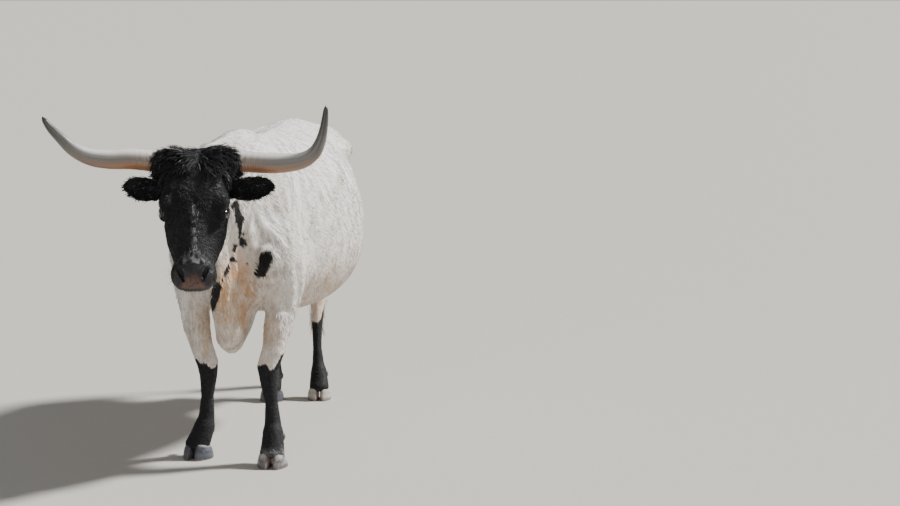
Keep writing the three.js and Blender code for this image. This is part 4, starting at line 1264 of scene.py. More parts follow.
def hoof_material(colours):
    n = Nodes("hoof")
    up, pale, cleft, _ = n.attribute("hoof")
    rings = n.noise(n.along("Hoof", (1.2, 26, 1)), 4.0, 0.55, 0.25)
    fibres = n.noise(n.along("Hoof", (60, 2, 1)), 4.0, 0.6)
    mottle = n.noise(n.coordinates((55, 55, 55)), 5.0, 0.65)
    patches = n.noise(n.along("Hoof", (5, 1.4, 1)), 4.0, 0.6, 0.6)
    shown = n.ranged(n.plus(patches, n.times(pale, 0.5)), 0.66, 0.86)
    lower = n.times(n.ranged(up, 0.62, 0.3, 0.0, 1.5), n.minus(1.0, pale))
    colour = n.layered(
        colours.hoof_dark,
        (n.ranged(mottle, 0.4, 0.62), colours.hoof),
        (n.times(shown, n.ranged(fibres, 0.3, 0.6, 0.7, 1.0)), colours.hoof_pale),
        (n.ranged(up, 0.84, 1.0, 0.0, 0.5), colours.hoof_pale),
        (n.times(lower, n.ranged(patches, 0.3, 0.7, 1.0, 0.5)), colours.hoof),
        (n.ranged(rings, 0.4, 0.7, 0.0, 0.45), colours.hoof_dark),
        (n.ranged(up, 0.26, 0.08, 0.0, 0.8), colours.hoof_dark),
        (n.times(cleft, n.ranged(mottle, 0.35, 0.6)), colours.cleft),
        (n.times(n.ranged(up, 0.12, 0.0), n.ranged(mottle, 0.3, 0.6)), colours.soil),
    )
    normal = n.bump(n.plus(rings, n.times(fibres, 0.35)), 0.6, 0.0022)
    return n.finish(Base_Color=colour, Roughness=n.ranged(mottle, 0.3, 0.7, 0.26, 0.5), Normal=normal)


PUPIL, IRIS_RIM = (0.002, 0.002, 0.003), (0.006, 0.004, 0.004)


def eye_material(colours):
    n = Nodes("eye")
    iris, pupil, white, _ = n.attribute("eye")
    spokes = n.noise(n.coordinates((240, 240, 240)), 4.0)
    colour = n.layered(
        colours.iris,
        (n.ranged(spokes, 0.3, 0.7), colours.iris_dark),
        (white, colours.eye_white),
        (pupil, PUPIL),
        (n.times(iris, 0.5), IRIS_RIM),
    )
    normal = n.bump(spokes, 0.05, 0.0002)
    return n.finish(Base_Color=colour, Roughness=0.12, Normal=normal, Coat_Weight=0.5, Coat_Roughness=0.04)


def bristle_material(colours):
    n = Nodes("bristles")
    tone = n.noise(n.coordinates((160, 160, 160)), 2.0)
    colour = n.mixed(n.ranged(tone, 0.4, 0.62), colours.black, colours.grey)
    return n.finish(Base_Color=colour, Roughness=0.5)


# A smooth curve through rows of numbers, the first three of which are a place.
def curve_through(rows, count, even=True):
    rows = np.array(rows, float)
    at = np.concatenate([[0], np.cumsum(np.sqrt(norms(np.diff(rows[:, :3], axis=0))))])
    sample = spline(at, rows)
    if not even:
        return sample(np.linspace(0, at[-1], count))
    x = np.linspace(0, at[-1], 400)
    far = np.concatenate([[0], np.cumsum(norms(np.diff(sample(x)[:, :3], axis=0)))])
    return sample(np.interp(np.linspace(0, far[-1], count), far, x))


def tube_faces(rings, sides):
    r, s = np.meshgrid(np.arange(rings - 1), np.arange(sides), indexing="ij")
    a, b = (r * sides + s).ravel(), (r * sides + (s + 1) % sides).ravel()
    return np.stack([a, b, b + sides, a + sides], axis=1)


# A closed tube from rings of points, capped at both ends by a point.
def closed_tube(rings):
    count, sides = rings.shape[:2]
    points = np.concatenate([rings.reshape(-1, 3), rings[:1].mean(1), rings[-1:].mean(1)])
    quads = tube_faces(count, sides)
    faces = np.concatenate([quads[:, [0, 1, 2]], quads[:, [0, 2, 3]]])
    s = np.arange(sides)
    t = (s + 1) % sides
    low, high = count * sides, count * sides + 1
    last = (count - 1) * sides
    caps = [np.stack([0 * s + low, t, s], 1), np.stack([0 * s + high, last + s, last + t], 1)]
    faces = np.concatenate([faces, *caps])
    a, b, c = (points[faces[:, i]] for i in range(3))
    if np.einsum("ij,ij->", a, np.cross(b, c)) < 0:
        faces = faces[:, ::-1]
    return points, faces


def uv_of_rings(piece, name, count, sides):
    """A map that runs round and along a tube, with its seam at its last side."""
    v = np.concatenate([np.repeat(np.arange(count) / (count - 1), sides), [0, 1]])
    u = np.concatenate([np.tile(np.arange(sides) / sides, count), [0, 0]])
    corners = corners_of(piece)
    across = u[corners].reshape(-1, 3)
    across = np.where((across.max(1) - across.min(1) > 0.5)[:, None] & (across < 0.5), across + 1, across)
    store_map(piece, name, np.stack([across.ravel(), v[corners]], axis=1))


def frames_along(path):
    """Two even directions across a path, at each of its points."""
    tangent = np.gradient(path, axis=0)
    tangent /= norms(tangent)[:, None]
    across = np.zeros_like(path)
    start = np.array([0, -1.0, 0]) - tangent[0] * -tangent[0, 1]
    across[0] = start / np.linalg.norm(start)
    for i in range(1, len(path)):
        side = across[i - 1] - tangent[i] * (across[i - 1] @ tangent[i])
        across[i] = side / np.linalg.norm(side)
    return across, np.cross(tangent, across)


def make_horn(name, material):
    steps, sides = 150, 32
    rows = curve_through(HORNS[name], steps + 1)
    path, radius = rows[:, :3], rows[:, 3]
    across, above = frames_along(path)
    along = np.linspace(0, 1, steps + 1)
    turn = turns_round(sides)
    draw = np.random.default_rng(31 if name == "left" else 32)
    phase = np.cumsum(1 + 0.5 * draw.random(steps + 1)) * 0.75
    ring = np.sin(phase) * smoothstep(0.4, 0.03, along)
    outward = np.cos(turn)[None, :, None] * across[:, None] + np.sin(turn)[None, :, None] * above[:, None]
    plain = path[:, None] + outward * radius[:, None, None]
    coarse = noise(plain.reshape(-1, 3), 38, 33).reshape(steps + 1, sides)
    grow = radius[:, None] * (1 + 0.012 * coarse) - 0.4 + 0.7 * ring[:, None]
    tip = np.sqrt(np.clip((1 - along) / 0.03, 0, 1))
    rings = path[:, None] + outward * (grow * np.maximum(tip, 0.04)[:, None])[..., None]
    points, faces = closed_tube(rings)
    piece = mesh_object(f"horn_{name}_grown", from_level(points), faces)
    under = np.concatenate([smoothstep(-0.05, 0.7, -outward[:, :, 2]).ravel(), [0, 0]])
    # Marks the upper side of the horn for the painted highlight.
    top_highlight = np.concatenate([smoothstep(0.3, 0.85, outward[:, :, 2]).ravel(), [0, 0]])
    far = np.concatenate([np.repeat(along, sides), [0, 1]])
    paint(piece, "horn", [far, under, top_highlight, far * 0 + 1])
    uv_of_rings(piece, "Horn", steps + 1, sides)
    placed(piece, material, "horn", f"horn_{name}")


def ear_rows(name, count):
    return curve_through([[x * SIDES[name] * EAR_REACH[name], *more] for x, *more in EAR], count, False)


EAR_STEPS, EAR_ACROSS, EAR_THICK = 44, 13, 5.0


def ear_leaf(name):
    """Rings of the ear, and for each point whether it is inside and how far out."""
    rings, inner, far = [], [], []
    for i, (x, y, z, half, hollow) in enumerate(ear_rows(name, EAR_STEPS + 1)):
        ring = []
        rim_round = min(1, (EAR_STEPS - i) / 3 + 0.25)
        for face in (1, -1):
            for j in range(EAR_ACROSS):
                t = face * (1 - 2 * j / (EAR_ACROSS - 1))
                bow = (hollow + 2 * (face > 0)) * (1 - 2 * t * t)
                rim = min(EAR_THICK, half * 0.5) * (1 - 0.75 * t * t) * rim_round
                edge = 1.2 * math.sin(i * 0.9) * abs(t) ** 3
                ring.append([x, y + bow + face * rim * 0.9 - 1.5, z + (half - 1 + edge) * t])
                inner.append(face < 0)
                far.append(i / EAR_STEPS)
        rings.append(ring)
    return np.array(rings), np.array(inner + [False, False], float), np.array(far + [0, 1])


def make_ear(name, material, hair):
    rings, inner, far = ear_leaf(name)
    level, faces = closed_tube(rings)
    points = from_level(level)
    piece = mesh_object(f"ear_{name}_leaf", points, faces)
    ones = np.ones(len(points))
    paint(piece, "coat", [ones, 0 * ones, 0.02 * inner, 0 * ones])
    placed(piece, material, "black_coat", f"ear_{name}")
    draw = np.random.default_rng(41 if name == "left" else 42)
    there = scattered(points, faces, 3.0, draw)
    roots, out = there(points), unit(there(normals_of(points, faces)))
    reach, inside = there(far), there(inner) > 0.5
    s = SIDES[name]
    places, middle = np.linspace(0, 1, EAR_STEPS + 1), ear_rows(name, EAR_STEPS + 1)
    centre, half = (np.interp(reach, places, middle[:, i]) for i in (2, 3))
    off = (into_level(roots)[:, 2] - centre) / half
    edge = np.clip(np.abs(off), 0, 1) ** 2
    way = [0 * off + s * (0.9 + 0.5 * reach), -0.12 * inside, 0.9 * off * edge - 0.22]
    way = np.stack(way, axis=1) @ LEVEL.T
    way += 0.2 * draw.normal(size=way.shape)
    way = unit(way - out * ((way * out).sum(1) * 0.85)[:, None])
    normal = np.cross(unit(np.cross(way, out)), way)
    size = 0.7 + 0.6 * draw.random(len(roots))
    length = (8.5 + 5 * edge * (reach > 0.2) + 3 * inside) * size
    width = 2.6 + 1.6 * draw.random(len(roots))
    lift = (1.2 + 3.5 * edge + 3 * inside) * size
    dye = (np.ones(len(roots)), np.zeros(len(roots)), inside * 0.03)
    tufts = (roots, normal, way, length, width, lift, 5 * draw.normal(size=len(roots)))
    coat_piece(f"ear_{name}_hair", tufts, 43, hair, "black_coat", dye=dye)


def outline_of(rows, count):
    """A smooth closed outline through corners of a plan."""
    rows = np.array(rows, float)
    total = len(rows)
    at = np.arange(count) / count * total
    i = at.astype(int)
    t = (at - i)[:, None]
    a, b, c, d = (rows[(i + k) % total] for k in (-1, 0, 1, 2))
    t2, t3 = t * t, t * t * t
    return 0.5 * (2 * b + (c - a) * t + (2 * a - 5 * b + 4 * c - d) * t2 + (3 * b - a - 3 * c + d) * t3)


def foot_matrix(end, name):
    s = SIDES[name]
    x, y = LEGS[end, name][-1][:2]
    turn = turn_z(s * math.radians(TOE_OUT[f"{end}_{name}"]))
    size = FOOT_SCALE[end]
    return lambda p: (p * [size, size, 1]) @ turn.T + [x * BODY, y * BODY, 0]


# How pale each foot is, and how red its cleft.
HOOF_TONE = {
    "fore_left": (0.62, 0.8), "fore_right": (0.0, 0.2),
    "hind_left": (1.0, 0.9), "hind_right": (0.1, 0.3),
}


CLAW_SIDES, CLAW_SWELL, CLAW_BULGE = 54, 1.4, 4.0
CLAW_LEVELS = np.concatenate([[0, 0.012, 0.035], np.linspace(0.08, 1, 17), [1.03]])


def make_claw(end, name, t, material):
    s, sides = SIDES[name], CLAW_SIDES
    sole, top = outline_of(SOLE, sides), outline_of(CORONET, sides)
    rings, heights = [], []
    for up in CLAW_LEVELS:
        share = min(up, 1)
        plan = sole + (top - sole) * share
        swell = CLAW_SWELL * share * (1 - share)
        plan = plan + np.stack([np.where(plan[:, 0] > 10, swell, 0), 0 * plan[:, 0]], axis=1)
        middle = plan.mean(0)
        tuck = 1 - 0.05 * max(0, 1 - up / 0.035) - 0.16 * (up > 1)
        wave = 0.35 * np.sin(up * 44 + 2 * np.sin(up * 9))
        plan = middle + (plan - middle) * tuck
        outward = (plan - middle) / norms(plan - middle)[:, None]
        plan = plan + outward * (wave - 0.3)
        bulge = CLAW_BULGE * math.sin(math.pi * share)
        plan = plan + outward * (bulge * np.clip(0.3 + 0.7 * outward[:, :1], 0, 1))
        z = share * (CORONET_HEIGHT - plan[:, 1] * CORONET_SLOPE) + 2.0 * (up > 1)
        rings.append(np.column_stack([plan[:, 0] * t * s, plan[:, 1], z]))
        heights += [share] * sides
    points, faces = closed_tube(np.array(rings))
    place = "outer" if t > 0 else "inner"
    piece = mesh_object(f"hoof_{end}_{name}_{place}", foot_matrix(end, name)(points), faces)
    pale, red = HOOF_TONE[f"{end}_{name}"]
    up = np.array(heights + [0, 1], float)
    cleft = smoothstep(17, 6, np.abs(points[:, 0])) * smoothstep(30, -10, points[:, 1]) * red
    paint(piece, "hoof", [up, 0 * up + pale, cleft, 0 * up + 1])
    uv_of_rings(piece, "Hoof", len(CLAW_LEVELS), sides)
    placed(piece, material, "hoof", f"claw_{end}_{name}_{place}")


DEWCLAW_SIZE = [13, 15, 18.0, 19.0]  # half width, half depth, and the reach up and down


def make_dewclaw(end, name, t, material):
    place = np.array(DEWCLAW_PLACE[end], float) * [t * SIDES[name], 1, 1]
    rings, count, sides = [], 16, 22
    wide, deep, above, below = DEWCLAW_SIZE
    turn = turns_round(sides)
    for i in range(count + 1):
        a = math.pi * i / count
        u, ripple = -math.cos(a), 1 + 0.03 * math.sin(i * 2.6)
        girth = math.sin(a) ** 0.8
        x, y = np.cos(turn) * girth * wide * ripple, np.sin(turn) * girth * deep * ripple
        z = np.full(sides, u * (above if u > 0 else below))
        rings.append(np.column_stack([x, y, z]) @ turn_x(0.5).T + place)
    points, faces = closed_tube(np.array(rings))
    label = "outer" if t > 0 else "inner"
    piece = mesh_object(f"dewhoof_{end}_{name}_{label}", foot_matrix(end, name)(points), faces)
    up = np.concatenate([np.repeat(np.arange(count + 1) / count, sides) * 0.7, [0, 0.7]])
    paint(piece, "hoof", [0.06 + 0.1 * up, 0 * up, 0 * up, 0 * up + 1])
    uv_of_rings(piece, "Hoof", count + 1, sides)
    placed(piece, material, "hoof", f"dewclaw_{end}_{name}_{label}")


def make_eye(name, material):
    count, sides = 36, 56
    outward, along, _ = LIDS[name][2]
    up = np.cross(outward, along)
    turn, r = turns_round(sides), EYE_RADIUS - 0.4
    rings, iris, pupil, white = [], [], [], []
    for i in range(count + 1):
        a = math.pi * i / count
        bulge = 1.2 * math.exp(-((a / 0.55) ** 2))
        x, y = np.cos(turn) * math.sin(a) * r, np.sin(turn) * math.sin(a) * r
        rings.append(x[:, None] * along + y[:, None] * up + (math.cos(a) * r + bulge) * outward)
        pupil.append(smoothstep(1.15, 0.85, np.hypot(np.cos(turn) * a / 0.34, np.sin(turn) * a / 0.2)))
        iris.append(bell(a, 0.72, 0.12) + 0 * turn)
        white.append(smoothstep(1.0, 1.12, a) + 0 * turn)
    points, faces = closed_tube(np.array(rings))
    piece = mesh_object(f"eyeball_{name}", from_head(points + eye_middle(SIDES[name])), faces)
    layers = [np.concatenate([np.ravel(v), [v[0][0], v[-1][0]]]) for v in (iris, pupil, white)]
    paint(piece, "eye", [*layers, layers[0] * 0 + 1])
    placed(piece, material, "eye", f"eye_{name}")


def bristle_tree(material, thickness):
    """A tree that stands a tapering bristle on each point, along its way and as long as it says."""
    tree = bpy.data.node_groups.new("bristles", "GeometryNodeTree")
    for way in ("INPUT", "OUTPUT"):
        tree.interface.new_socket("Geometry", in_out=way, socket_type="NodeSocketGeometry")
    n = Graph(tree)
    read = {}
    for name, kind in (("way", "FLOAT_VECTOR"), ("long", "FLOAT")):
        node = n.add("GeometryNodeInputNamedAttribute", Name=name)
        node.data_type = kind
        read[name] = node.outputs["Attribute"]
    cone = n.add("GeometryNodeMeshCone", Vertices=5, Side_Segments=3, Radius_Top=0.00006, Depth=1.0)
    cone.inputs["Radius Bottom"].default_value = thickness
    aim = n.add("FunctionNodeAlignRotationToVector", Vector=read["way"])
    aim.axis = "Z"
    size = n.add("ShaderNodeCombineXYZ", X=1.0, Y=1.0, Z=read["long"])
    points = n.add("NodeGroupInput").outputs["Geometry"]
    turned, scale = aim.outputs["Rotation"], size.outputs["Vector"]
    stand = n.add("GeometryNodeInstanceOnPoints", Points=points, Rotation=turned, Scale=scale)
    n.feed(stand.inputs["Instance"], cone.outputs["Mesh"])
    real = n.add("GeometryNodeRealizeInstances", Geometry=stand.outputs["Instances"])
    dress = n.add("GeometryNodeSetMaterial", Geometry=real.outputs["Geometry"], Material=material)
    n.add("NodeGroupOutput", Geometry=dress.outputs["Geometry"])
    return tree


def make_bristles(name, roots, ways, lengths, thickness, material):
    mesh = bpy.data.meshes.new(f"{name}_roots")
    mesh.from_pydata(to_row(roots).tolist(), [], [])
    way = mesh.attributes.new("way", "FLOAT_VECTOR", "POINT")
    way.data.foreach_set("vector", ways.astype(np.float32).ravel())
    long = mesh.attributes.new("long", "FLOAT", "POINT")
    long.data.foreach_set("value", (lengths / 1000).astype(np.float32))
    source = linked(f"{name}_roots", mesh)
    source.modifiers.new("bristles", "NODES").node_group = bristle_tree(material, thickness / 1000)
    bpy.context.view_layer.update()
    made = bpy.data.meshes.new_from_object(source.evaluated_get(bpy.context.evaluated_depsgraph_get()))
    source.modifiers.clear()
    bpy.data.objects.remove(source)
    made.polygons.foreach_set("use_smooth", np.full(len(made.polygons), True))
    placed(linked(name, made), material, "black_coat")


def make_skin(sizes, colours):
    points, faces = build_skin(sizes.skin_cell * 1000)
    normals = normals_of(points, faces)
    BUILT["skin"] = (points, faces, normals)
    piece = mesh_object("skin", points, faces)
    black, stain, grey = black_share(points), stain_and_shade_share(points), grey_hair_and_highlight_share(points)
    holes = np.minimum(*(nostril(into_head(points)) for nostril in nostril_forms))
    pad, lids = pad_share(points) * head_share(points), lid_share(points)
    bare = np.maximum(pad, lids)
    tint = np.where(lids > pad, 0.1, pink_share(points)) * smoothstep(0.5, 2.5, holes)
    stain = stain * (1 - bare) + tint * bare
    paint(piece, "coat", [np.maximum(black, bare), stain, grey * 0.8 * (1 - bare), bare])
    flesh_nodes = ["torso", "neck", "head", "tail"]
    for name in SIDES:
        for leg in ("foreleg", "hindleg"):
            flesh_nodes += [f"{leg}_{name}_upper", f"{leg}_{name}_lower"]
    placed(piece, skin_material(colours), "white_coat", *flesh_nodes)


def coat_roots(region, density, seed):
    """Roots with their normals and lie on the part of the skin where `region` is true."""
    points, faces, normals = BUILT["skin"]
    draw = np.random.default_rng(seed)
    there = scattered(points, faces[region(points[faces].mean(1))], density, draw)
    roots, out = there(points), unit(there(normals))
    keep = (roots[:, 2] > COAT_BOTTOM) & (pad_share(roots) < 0.35)
    h = into_head(roots)
    for name, s in SIDES.items():
        far, balls = norms(roots - eye_place(s)), LIDS[name][1]
        keep &= far > EYE_RADIUS + 1.2
        keep &= ~((far < 30) & (np.maximum(balls[0](h), balls[1](h)) < 3.0))
    for nostril in nostril_forms:
        keep &= nostril(h) > 1.5
    roots, out = roots[keep], out[keep]
    return roots, out, lie_of(roots, out), draw


def varied(draw, count):
    return 0.7 + 0.6 * draw.random(count)


# The coat of the trunk and neck is cut into pieces across the body.
COAT_CUTS = [-2000, 40, 430, 850, 1130, 2000]
LEG_TOP = 560


def make_body_coat(sizes, hair):
    for i, (low, high) in enumerate(zip(COAT_CUTS[:-1], COAT_CUTS[1:])):

        def region(m, low=low, high=high):
            return (m[:, 1] >= low) & (m[:, 1] < high) & (m[:, 2] > LEG_TOP) & (head_share(m) < 0.5)

        roots, out, way, draw = coat_roots(region, sizes.body_tufts, 60 + i)
        count = len(roots)
        ridge, neck = ripples(roots), smoothstep(20, -160, roots[:, 1])
        length = (sizes.body_hair * 1000 + 9 * neck + 5 * np.abs(ridge)) * varied(draw, count)
        width = 2.8 + 1.8 * draw.random(count)
        lift = 0.4 + 0.8 * draw.random(count) + 1.0 * np.maximum(ridge, 0) + 0.5 * neck
        curl = (1.6 + 2.5 * neck) * draw.normal(size=count)
        tufts = (roots - out * 0.4, out, way, length, width, lift, curl)
        coat_piece(f"coat_body_{i}", tufts, 70 + i, hair, "white_coat")


def make_leg_coat(sizes, hair):
    def region(m):
        off_tail = np.hypot(m[:, 0] - 55, m[:, 1] - 1480) > 60
        return (m[:, 2] <= LEG_TOP) & (head_share(m) < 0.5) & off_tail

    roots, out, way, draw = coat_roots(region, sizes.leg_tufts, 80)
    count = len(roots)
    size = varied(draw, count)
    fetlock = bell(roots[:, 2], 130, 40) * smoothstep(0.5, 2.5, roots[:, 1] / BODY - leg_axis(roots))
    band = smoothstep(85, 62, roots[:, 2])
    length = (9 + 13 * smoothstep(330, LEG_TOP, roots[:, 2])) * size + 16 * fetlock * size - 3 * band
    width = 2.8 + 1.6 * draw.random(count)
    lift = 0.1 + 0.2 * draw.random(count) + 3.0 * fetlock + 0.5 * band
    curl = 0.4 * draw.normal(size=count)
    coat_piece("coat_legs", (roots, out, way, length, width, lift, curl), 81, hair, "black_coat")


def make_head_coat(sizes, hair):
    roots, out, way, draw = coat_roots(lambda m: head_share(m) >= 0.5, sizes.face_tufts, 90)
    count = len(roots)
    h = into_head(roots) / HEAD
    size = varied(draw, count)
    back, muzzle = smoothstep(-60, -20, h[:, 1]), smoothstep(-66, -80, h[:, 1])
    lids = smoothstep(34, 24, eye_near(roots))
    temple = bell(h[:, 1], -20, 14) * smoothstep(13, 19, np.abs(h[:, 0])) * smoothstep(12, 4, h[:, 2])
    length = (9 + 8 * back - 2.5 * muzzle) * size * (1 - 0.55 * lids) + 12 * temple * size
    width = (2.0 + 1.4 * draw.random(count)) * (1 - 0.3 * muzzle)
    lift = (0.5 + 0.6 * draw.random(count) + 0.8 * back + 3.5 * temple) * (1 - 0.5 * lids)
    curl = (0.8 + 1.6 * back) * draw.normal(size=count)
    coat_piece("coat_head", (roots, out, way, length, width, lift, curl), 91, hair, "black_coat")


# The long hair of the poll is parted above the brow and combed out to both sides.
POLL = {"parting": 12.0, "reach": 166.0, "front": -62.0, "back": 42.0}


def make_poll_hair(sizes, hair):
    def region(m):
        q = into_level(m)
        across = np.abs(q[:, 0])
        reach = (across < POLL["reach"]) & (q[:, 2] > np.where(across > 62, -64, -30))
        return reach & (q[:, 1] > POLL["front"] - 20) & (q[:, 1] < POLL["back"]) & (head_share(m, 80) > 0.1)

    roots, out, _, draw = coat_roots(region, sizes.poll_tufts, 100)
    q, count = into_level(roots), len(roots)
    side = np.where(q[:, 0] > POLL["parting"] + 6 * draw.normal(size=count), 1.0, -1.0)
    along = np.clip((q[:, 1] - POLL["front"]) / (POLL["back"] - POLL["front"]), 0, 1)
    far = np.abs(q[:, 0]) / POLL["reach"]
    across, down = side * (0.9 - 0.55 * far**2), -0.22 + 0.1 * along - 0.75 * far**2
    way = np.stack([across, -0.5 + 0.9 * along, down], axis=1) + 0.2 * draw.normal(size=(count, 3))
    front = smoothstep(0.35, 0.0, along)[:, None]
    way = way * (1 - front) + np.stack([side * 0.55, 0 * side - 0.45, 0 * side - 0.75], axis=1) * front
    way = way @ LEVEL.T
    way = unit(way - out * ((way * out).sum(1) * 0.9)[:, None])
    size = 0.65 + 0.7 * draw.random(count)
    length = sizes.poll_hair * 1000 * size * (1 - 0.55 * far**1.5)
    puff = bell(q[:, 0] - POLL["parting"], -52, 42) + 1.3 * bell(q[:, 0] - POLL["parting"], 56, 40)
    lift = (3 + 22 * draw.random(count) ** 1.2 * (0.12 + 1.0 * puff)) * (1 - 0.4 * front[:, 0])
    curl = 12 * draw.normal(size=count)
    width = 3.0 + 2.5 * draw.random(count)
    dye = (np.ones(count), np.zeros(count), np.full(count, 0.015))
    coat_piece("poll_hair", (roots, out, way, length, width, lift, curl), 101, hair, "black_coat", 4, dye)


# The middle of the switch: [x, y, z, radius].
SWITCH_CORE = [
    [53, 1486, 730, 17], [50, 1482, 640, 18], [47, 1480, 540, 17], [43, 1478, 440, 12], [40, 1476, 360, 7],
]


def make_switch(hair):
    draw = np.random.default_rng(110)
    count = 2200
    rows = np.array(SWITCH_CORE, float)
    z = 400 + 330 * draw.random(count) ** 0.8
    x, y, wide = (np.interp(-z, -rows[:, 2], rows[:, i]) for i in (0, 1, 3))
    radius = wide * np.sqrt(draw.random(count))
    turn = draw.random(count) * 2 * np.pi
    out = np.stack([np.cos(turn), np.sin(turn), 0 * turn], axis=1)
    roots = np.column_stack([x, y, z]) + out * radius[:, None]
    way = unit(np.stack([0 * z, 0 * z, 0 * z - 1], axis=1) + 0.07 * draw.normal(size=(count, 3)) - 0.03 * out)
    out = unit(out - way * (out * way).sum(1)[:, None])
    length = np.minimum((130 + 90 * draw.random(count)), z - 232)
    lift = 4 + 12 * draw.random(count)
    width = 3.2 + 2.6 * draw.random(count)
    curl = 9 * draw.normal(size=count)
    tufts = (roots, out, way, length, width, lift, curl)
    dye = (np.full(count, 0.05), np.full(count, 0.2), np.zeros(count))
    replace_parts(coat_piece("switch_hair", tufts, 111, hair, "white_coat", 5, dye), "tail_switch")


LASHES, WHISKERS = 46, 260


def make_lashes_and_whiskers(colours):
    material = bristle_material(colours)
    draw = np.random.default_rng(120)
    roots, ways, lengths = [], [], []
    for name, s in SIDES.items():
        outward, along, across = LIDS[name][2]
        up = across if across[2] > 0 else -across
        for i in range(LASHES):
            t = (i + draw.random()) / LASHES * 2 - 1
            rise = (LID["half"] - 1) * (1 - t * t)
            for lid, share in ((1, 1.0), (-1, 0.5)):
                if lid < 0 and i % 2:
                    continue
                aim = unit(outward * 19 + along * t * 17 + up * lid * rise)
                roots.append(eye_middle(s) + aim * (EYE_RADIUS + 1.6))
                sweep = aim * 0.9 + along * (0.35 * t) + up * lid * 0.35
                ways.append(unit(sweep + 0.08 * draw.normal(size=3)))
                lengths.append((11 + 7 * draw.random()) * share)
    lashes = from_head(np.array(roots)), np.array(ways) @ TILTED.T, np.array(lengths)
    make_bristles("lashes", *lashes, 0.42, material)
    points, _, normals = BUILT["skin"]
    h = into_head(points) / HEAD
    lips = (head_share(points) > 0.5) & (h[:, 1] < -72) & (pad_share(points) < 0.4) & (h[:, 2] < 6.5)
    chosen = draw.choice(np.flatnonzero(lips), WHISKERS, replace=False)
    lie = lie_of(points[chosen], normals[chosen])
    way = unit(normals[chosen] + lie * 0.5 + 0.25 * draw.normal(size=(WHISKERS, 3)))
    make_bristles("whiskers", points[chosen], way, 12 + 26 * draw.random(WHISKERS) ** 2, 0.34, material)


def stood(name, data, place, aim):
    """An object of the scene that stands at a place and looks along `aim`."""
    made = linked(name, data)
    made.matrix_world = Matrix.Translation(place) @ aim.to_track_quat("-Z", "Y").to_matrix().to_4x4()
    return made


FLOOR_SIZE = 16000
SUN_AIM, SUN_ANGLE = (-0.64, -0.3, -0.71), 7
LAMP_PLACE, LAMP_TARGET, LAMP_SIZE = Vector((-1.0, -8.0, 4.5)), Vector((0, -0.6, 0.9)), 5.0


def make_stage(studio):
    bpy.ops.mesh.primitive_plane_add(size=FLOOR_SIZE)
    floor = bpy.context.object
    floor.name = "floor"
    n = Nodes("floor")
    grain = n.noise(n.coordinates((30, 30, 30)), 3.0)
    colour = n.mixed(n.ranged(grain, 0.3, 0.7), studio.floor, [c * 0.97 for c in studio.floor])
    floor.data.materials.append(n.finish(Base_Color=colour, Roughness=0.9))
    world = bpy.data.worlds.new("studio")
    world.use_nodes = True
    background = world.node_tree.nodes["Background"]
    background.inputs["Color"].default_value = (*studio.sky, 1)
    background.inputs["Strength"].default_value = studio.sky_strength
    bpy.context.scene.world = world
    sun = bpy.data.lights.new("key", "SUN")
    sun.angle = math.radians(SUN_ANGLE)
    sun.energy = studio.key
    stood("key", sun, (5, 1, 5), Vector(SUN_AIM))
    lamp = bpy.data.lights.new("front", "AREA")
    lamp.size = LAMP_SIZE
    lamp.energy = studio.fill
    stood("front", lamp, LAMP_PLACE, LAMP_TARGET - LAMP_PLACE)


CAMERA_PLACE = (1.7767, -7.3135, 1.93)
CAMERA_AHEAD = (-0.1193, 0.9929)
FOCAL = 1722  # in picture points, for a picture 900 wide
CAMERA_TILT = math.atan(253 / FOCAL)
SENSOR = 36


def make_camera():
    data = bpy.data.cameras.new("camera")
    data.lens = FOCAL / 900 * SENSOR
    data.sensor_width = SENSOR
    data.sensor_fit = "HORIZONTAL"
    data.clip_end = 20000
    level = math.cos(CAMERA_TILT)
    aim = Vector((CAMERA_AHEAD[0] * level, CAMERA_AHEAD[1] * level, -math.sin(CAMERA_TILT)))
    bpy.context.scene.camera = stood("camera", data, CAMERA_PLACE, aim)


def colour(label, text, value):
    limits = {"size": 3, "subtype": "COLOR", "min": 0, "max": 1}
    return FloatVectorProperty(name=label, description=text, default=value, **limits)


def length(label, text, value):
    return FloatProperty(name=label, description=text, default=value, unit="LENGTH", subtype="DISTANCE")


def number(label, value, text="Tufts a square centimetre", unit="NONE"):
    return FloatProperty(name=label, description=text, default=value, unit=unit)


class SteerSizes(bpy.types.PropertyGroup):
    skin_cell: length("Skin cell", "Size of the skin's faces on the body", 0.0122)
    body_hair: length("Body hair", "Length of a tuft on the trunk", 0.026)
    poll_hair: length("Poll hair", "Length of the long hair between the horns", 0.068)
    body_tufts: number("Body tufts", 1.7)
    leg_tufts: number("Leg tufts", 2.2)
    face_tufts: number("Face tufts", 4.4)
    poll_tufts: number("Poll tufts", 5.0, "Locks a square centimetre")


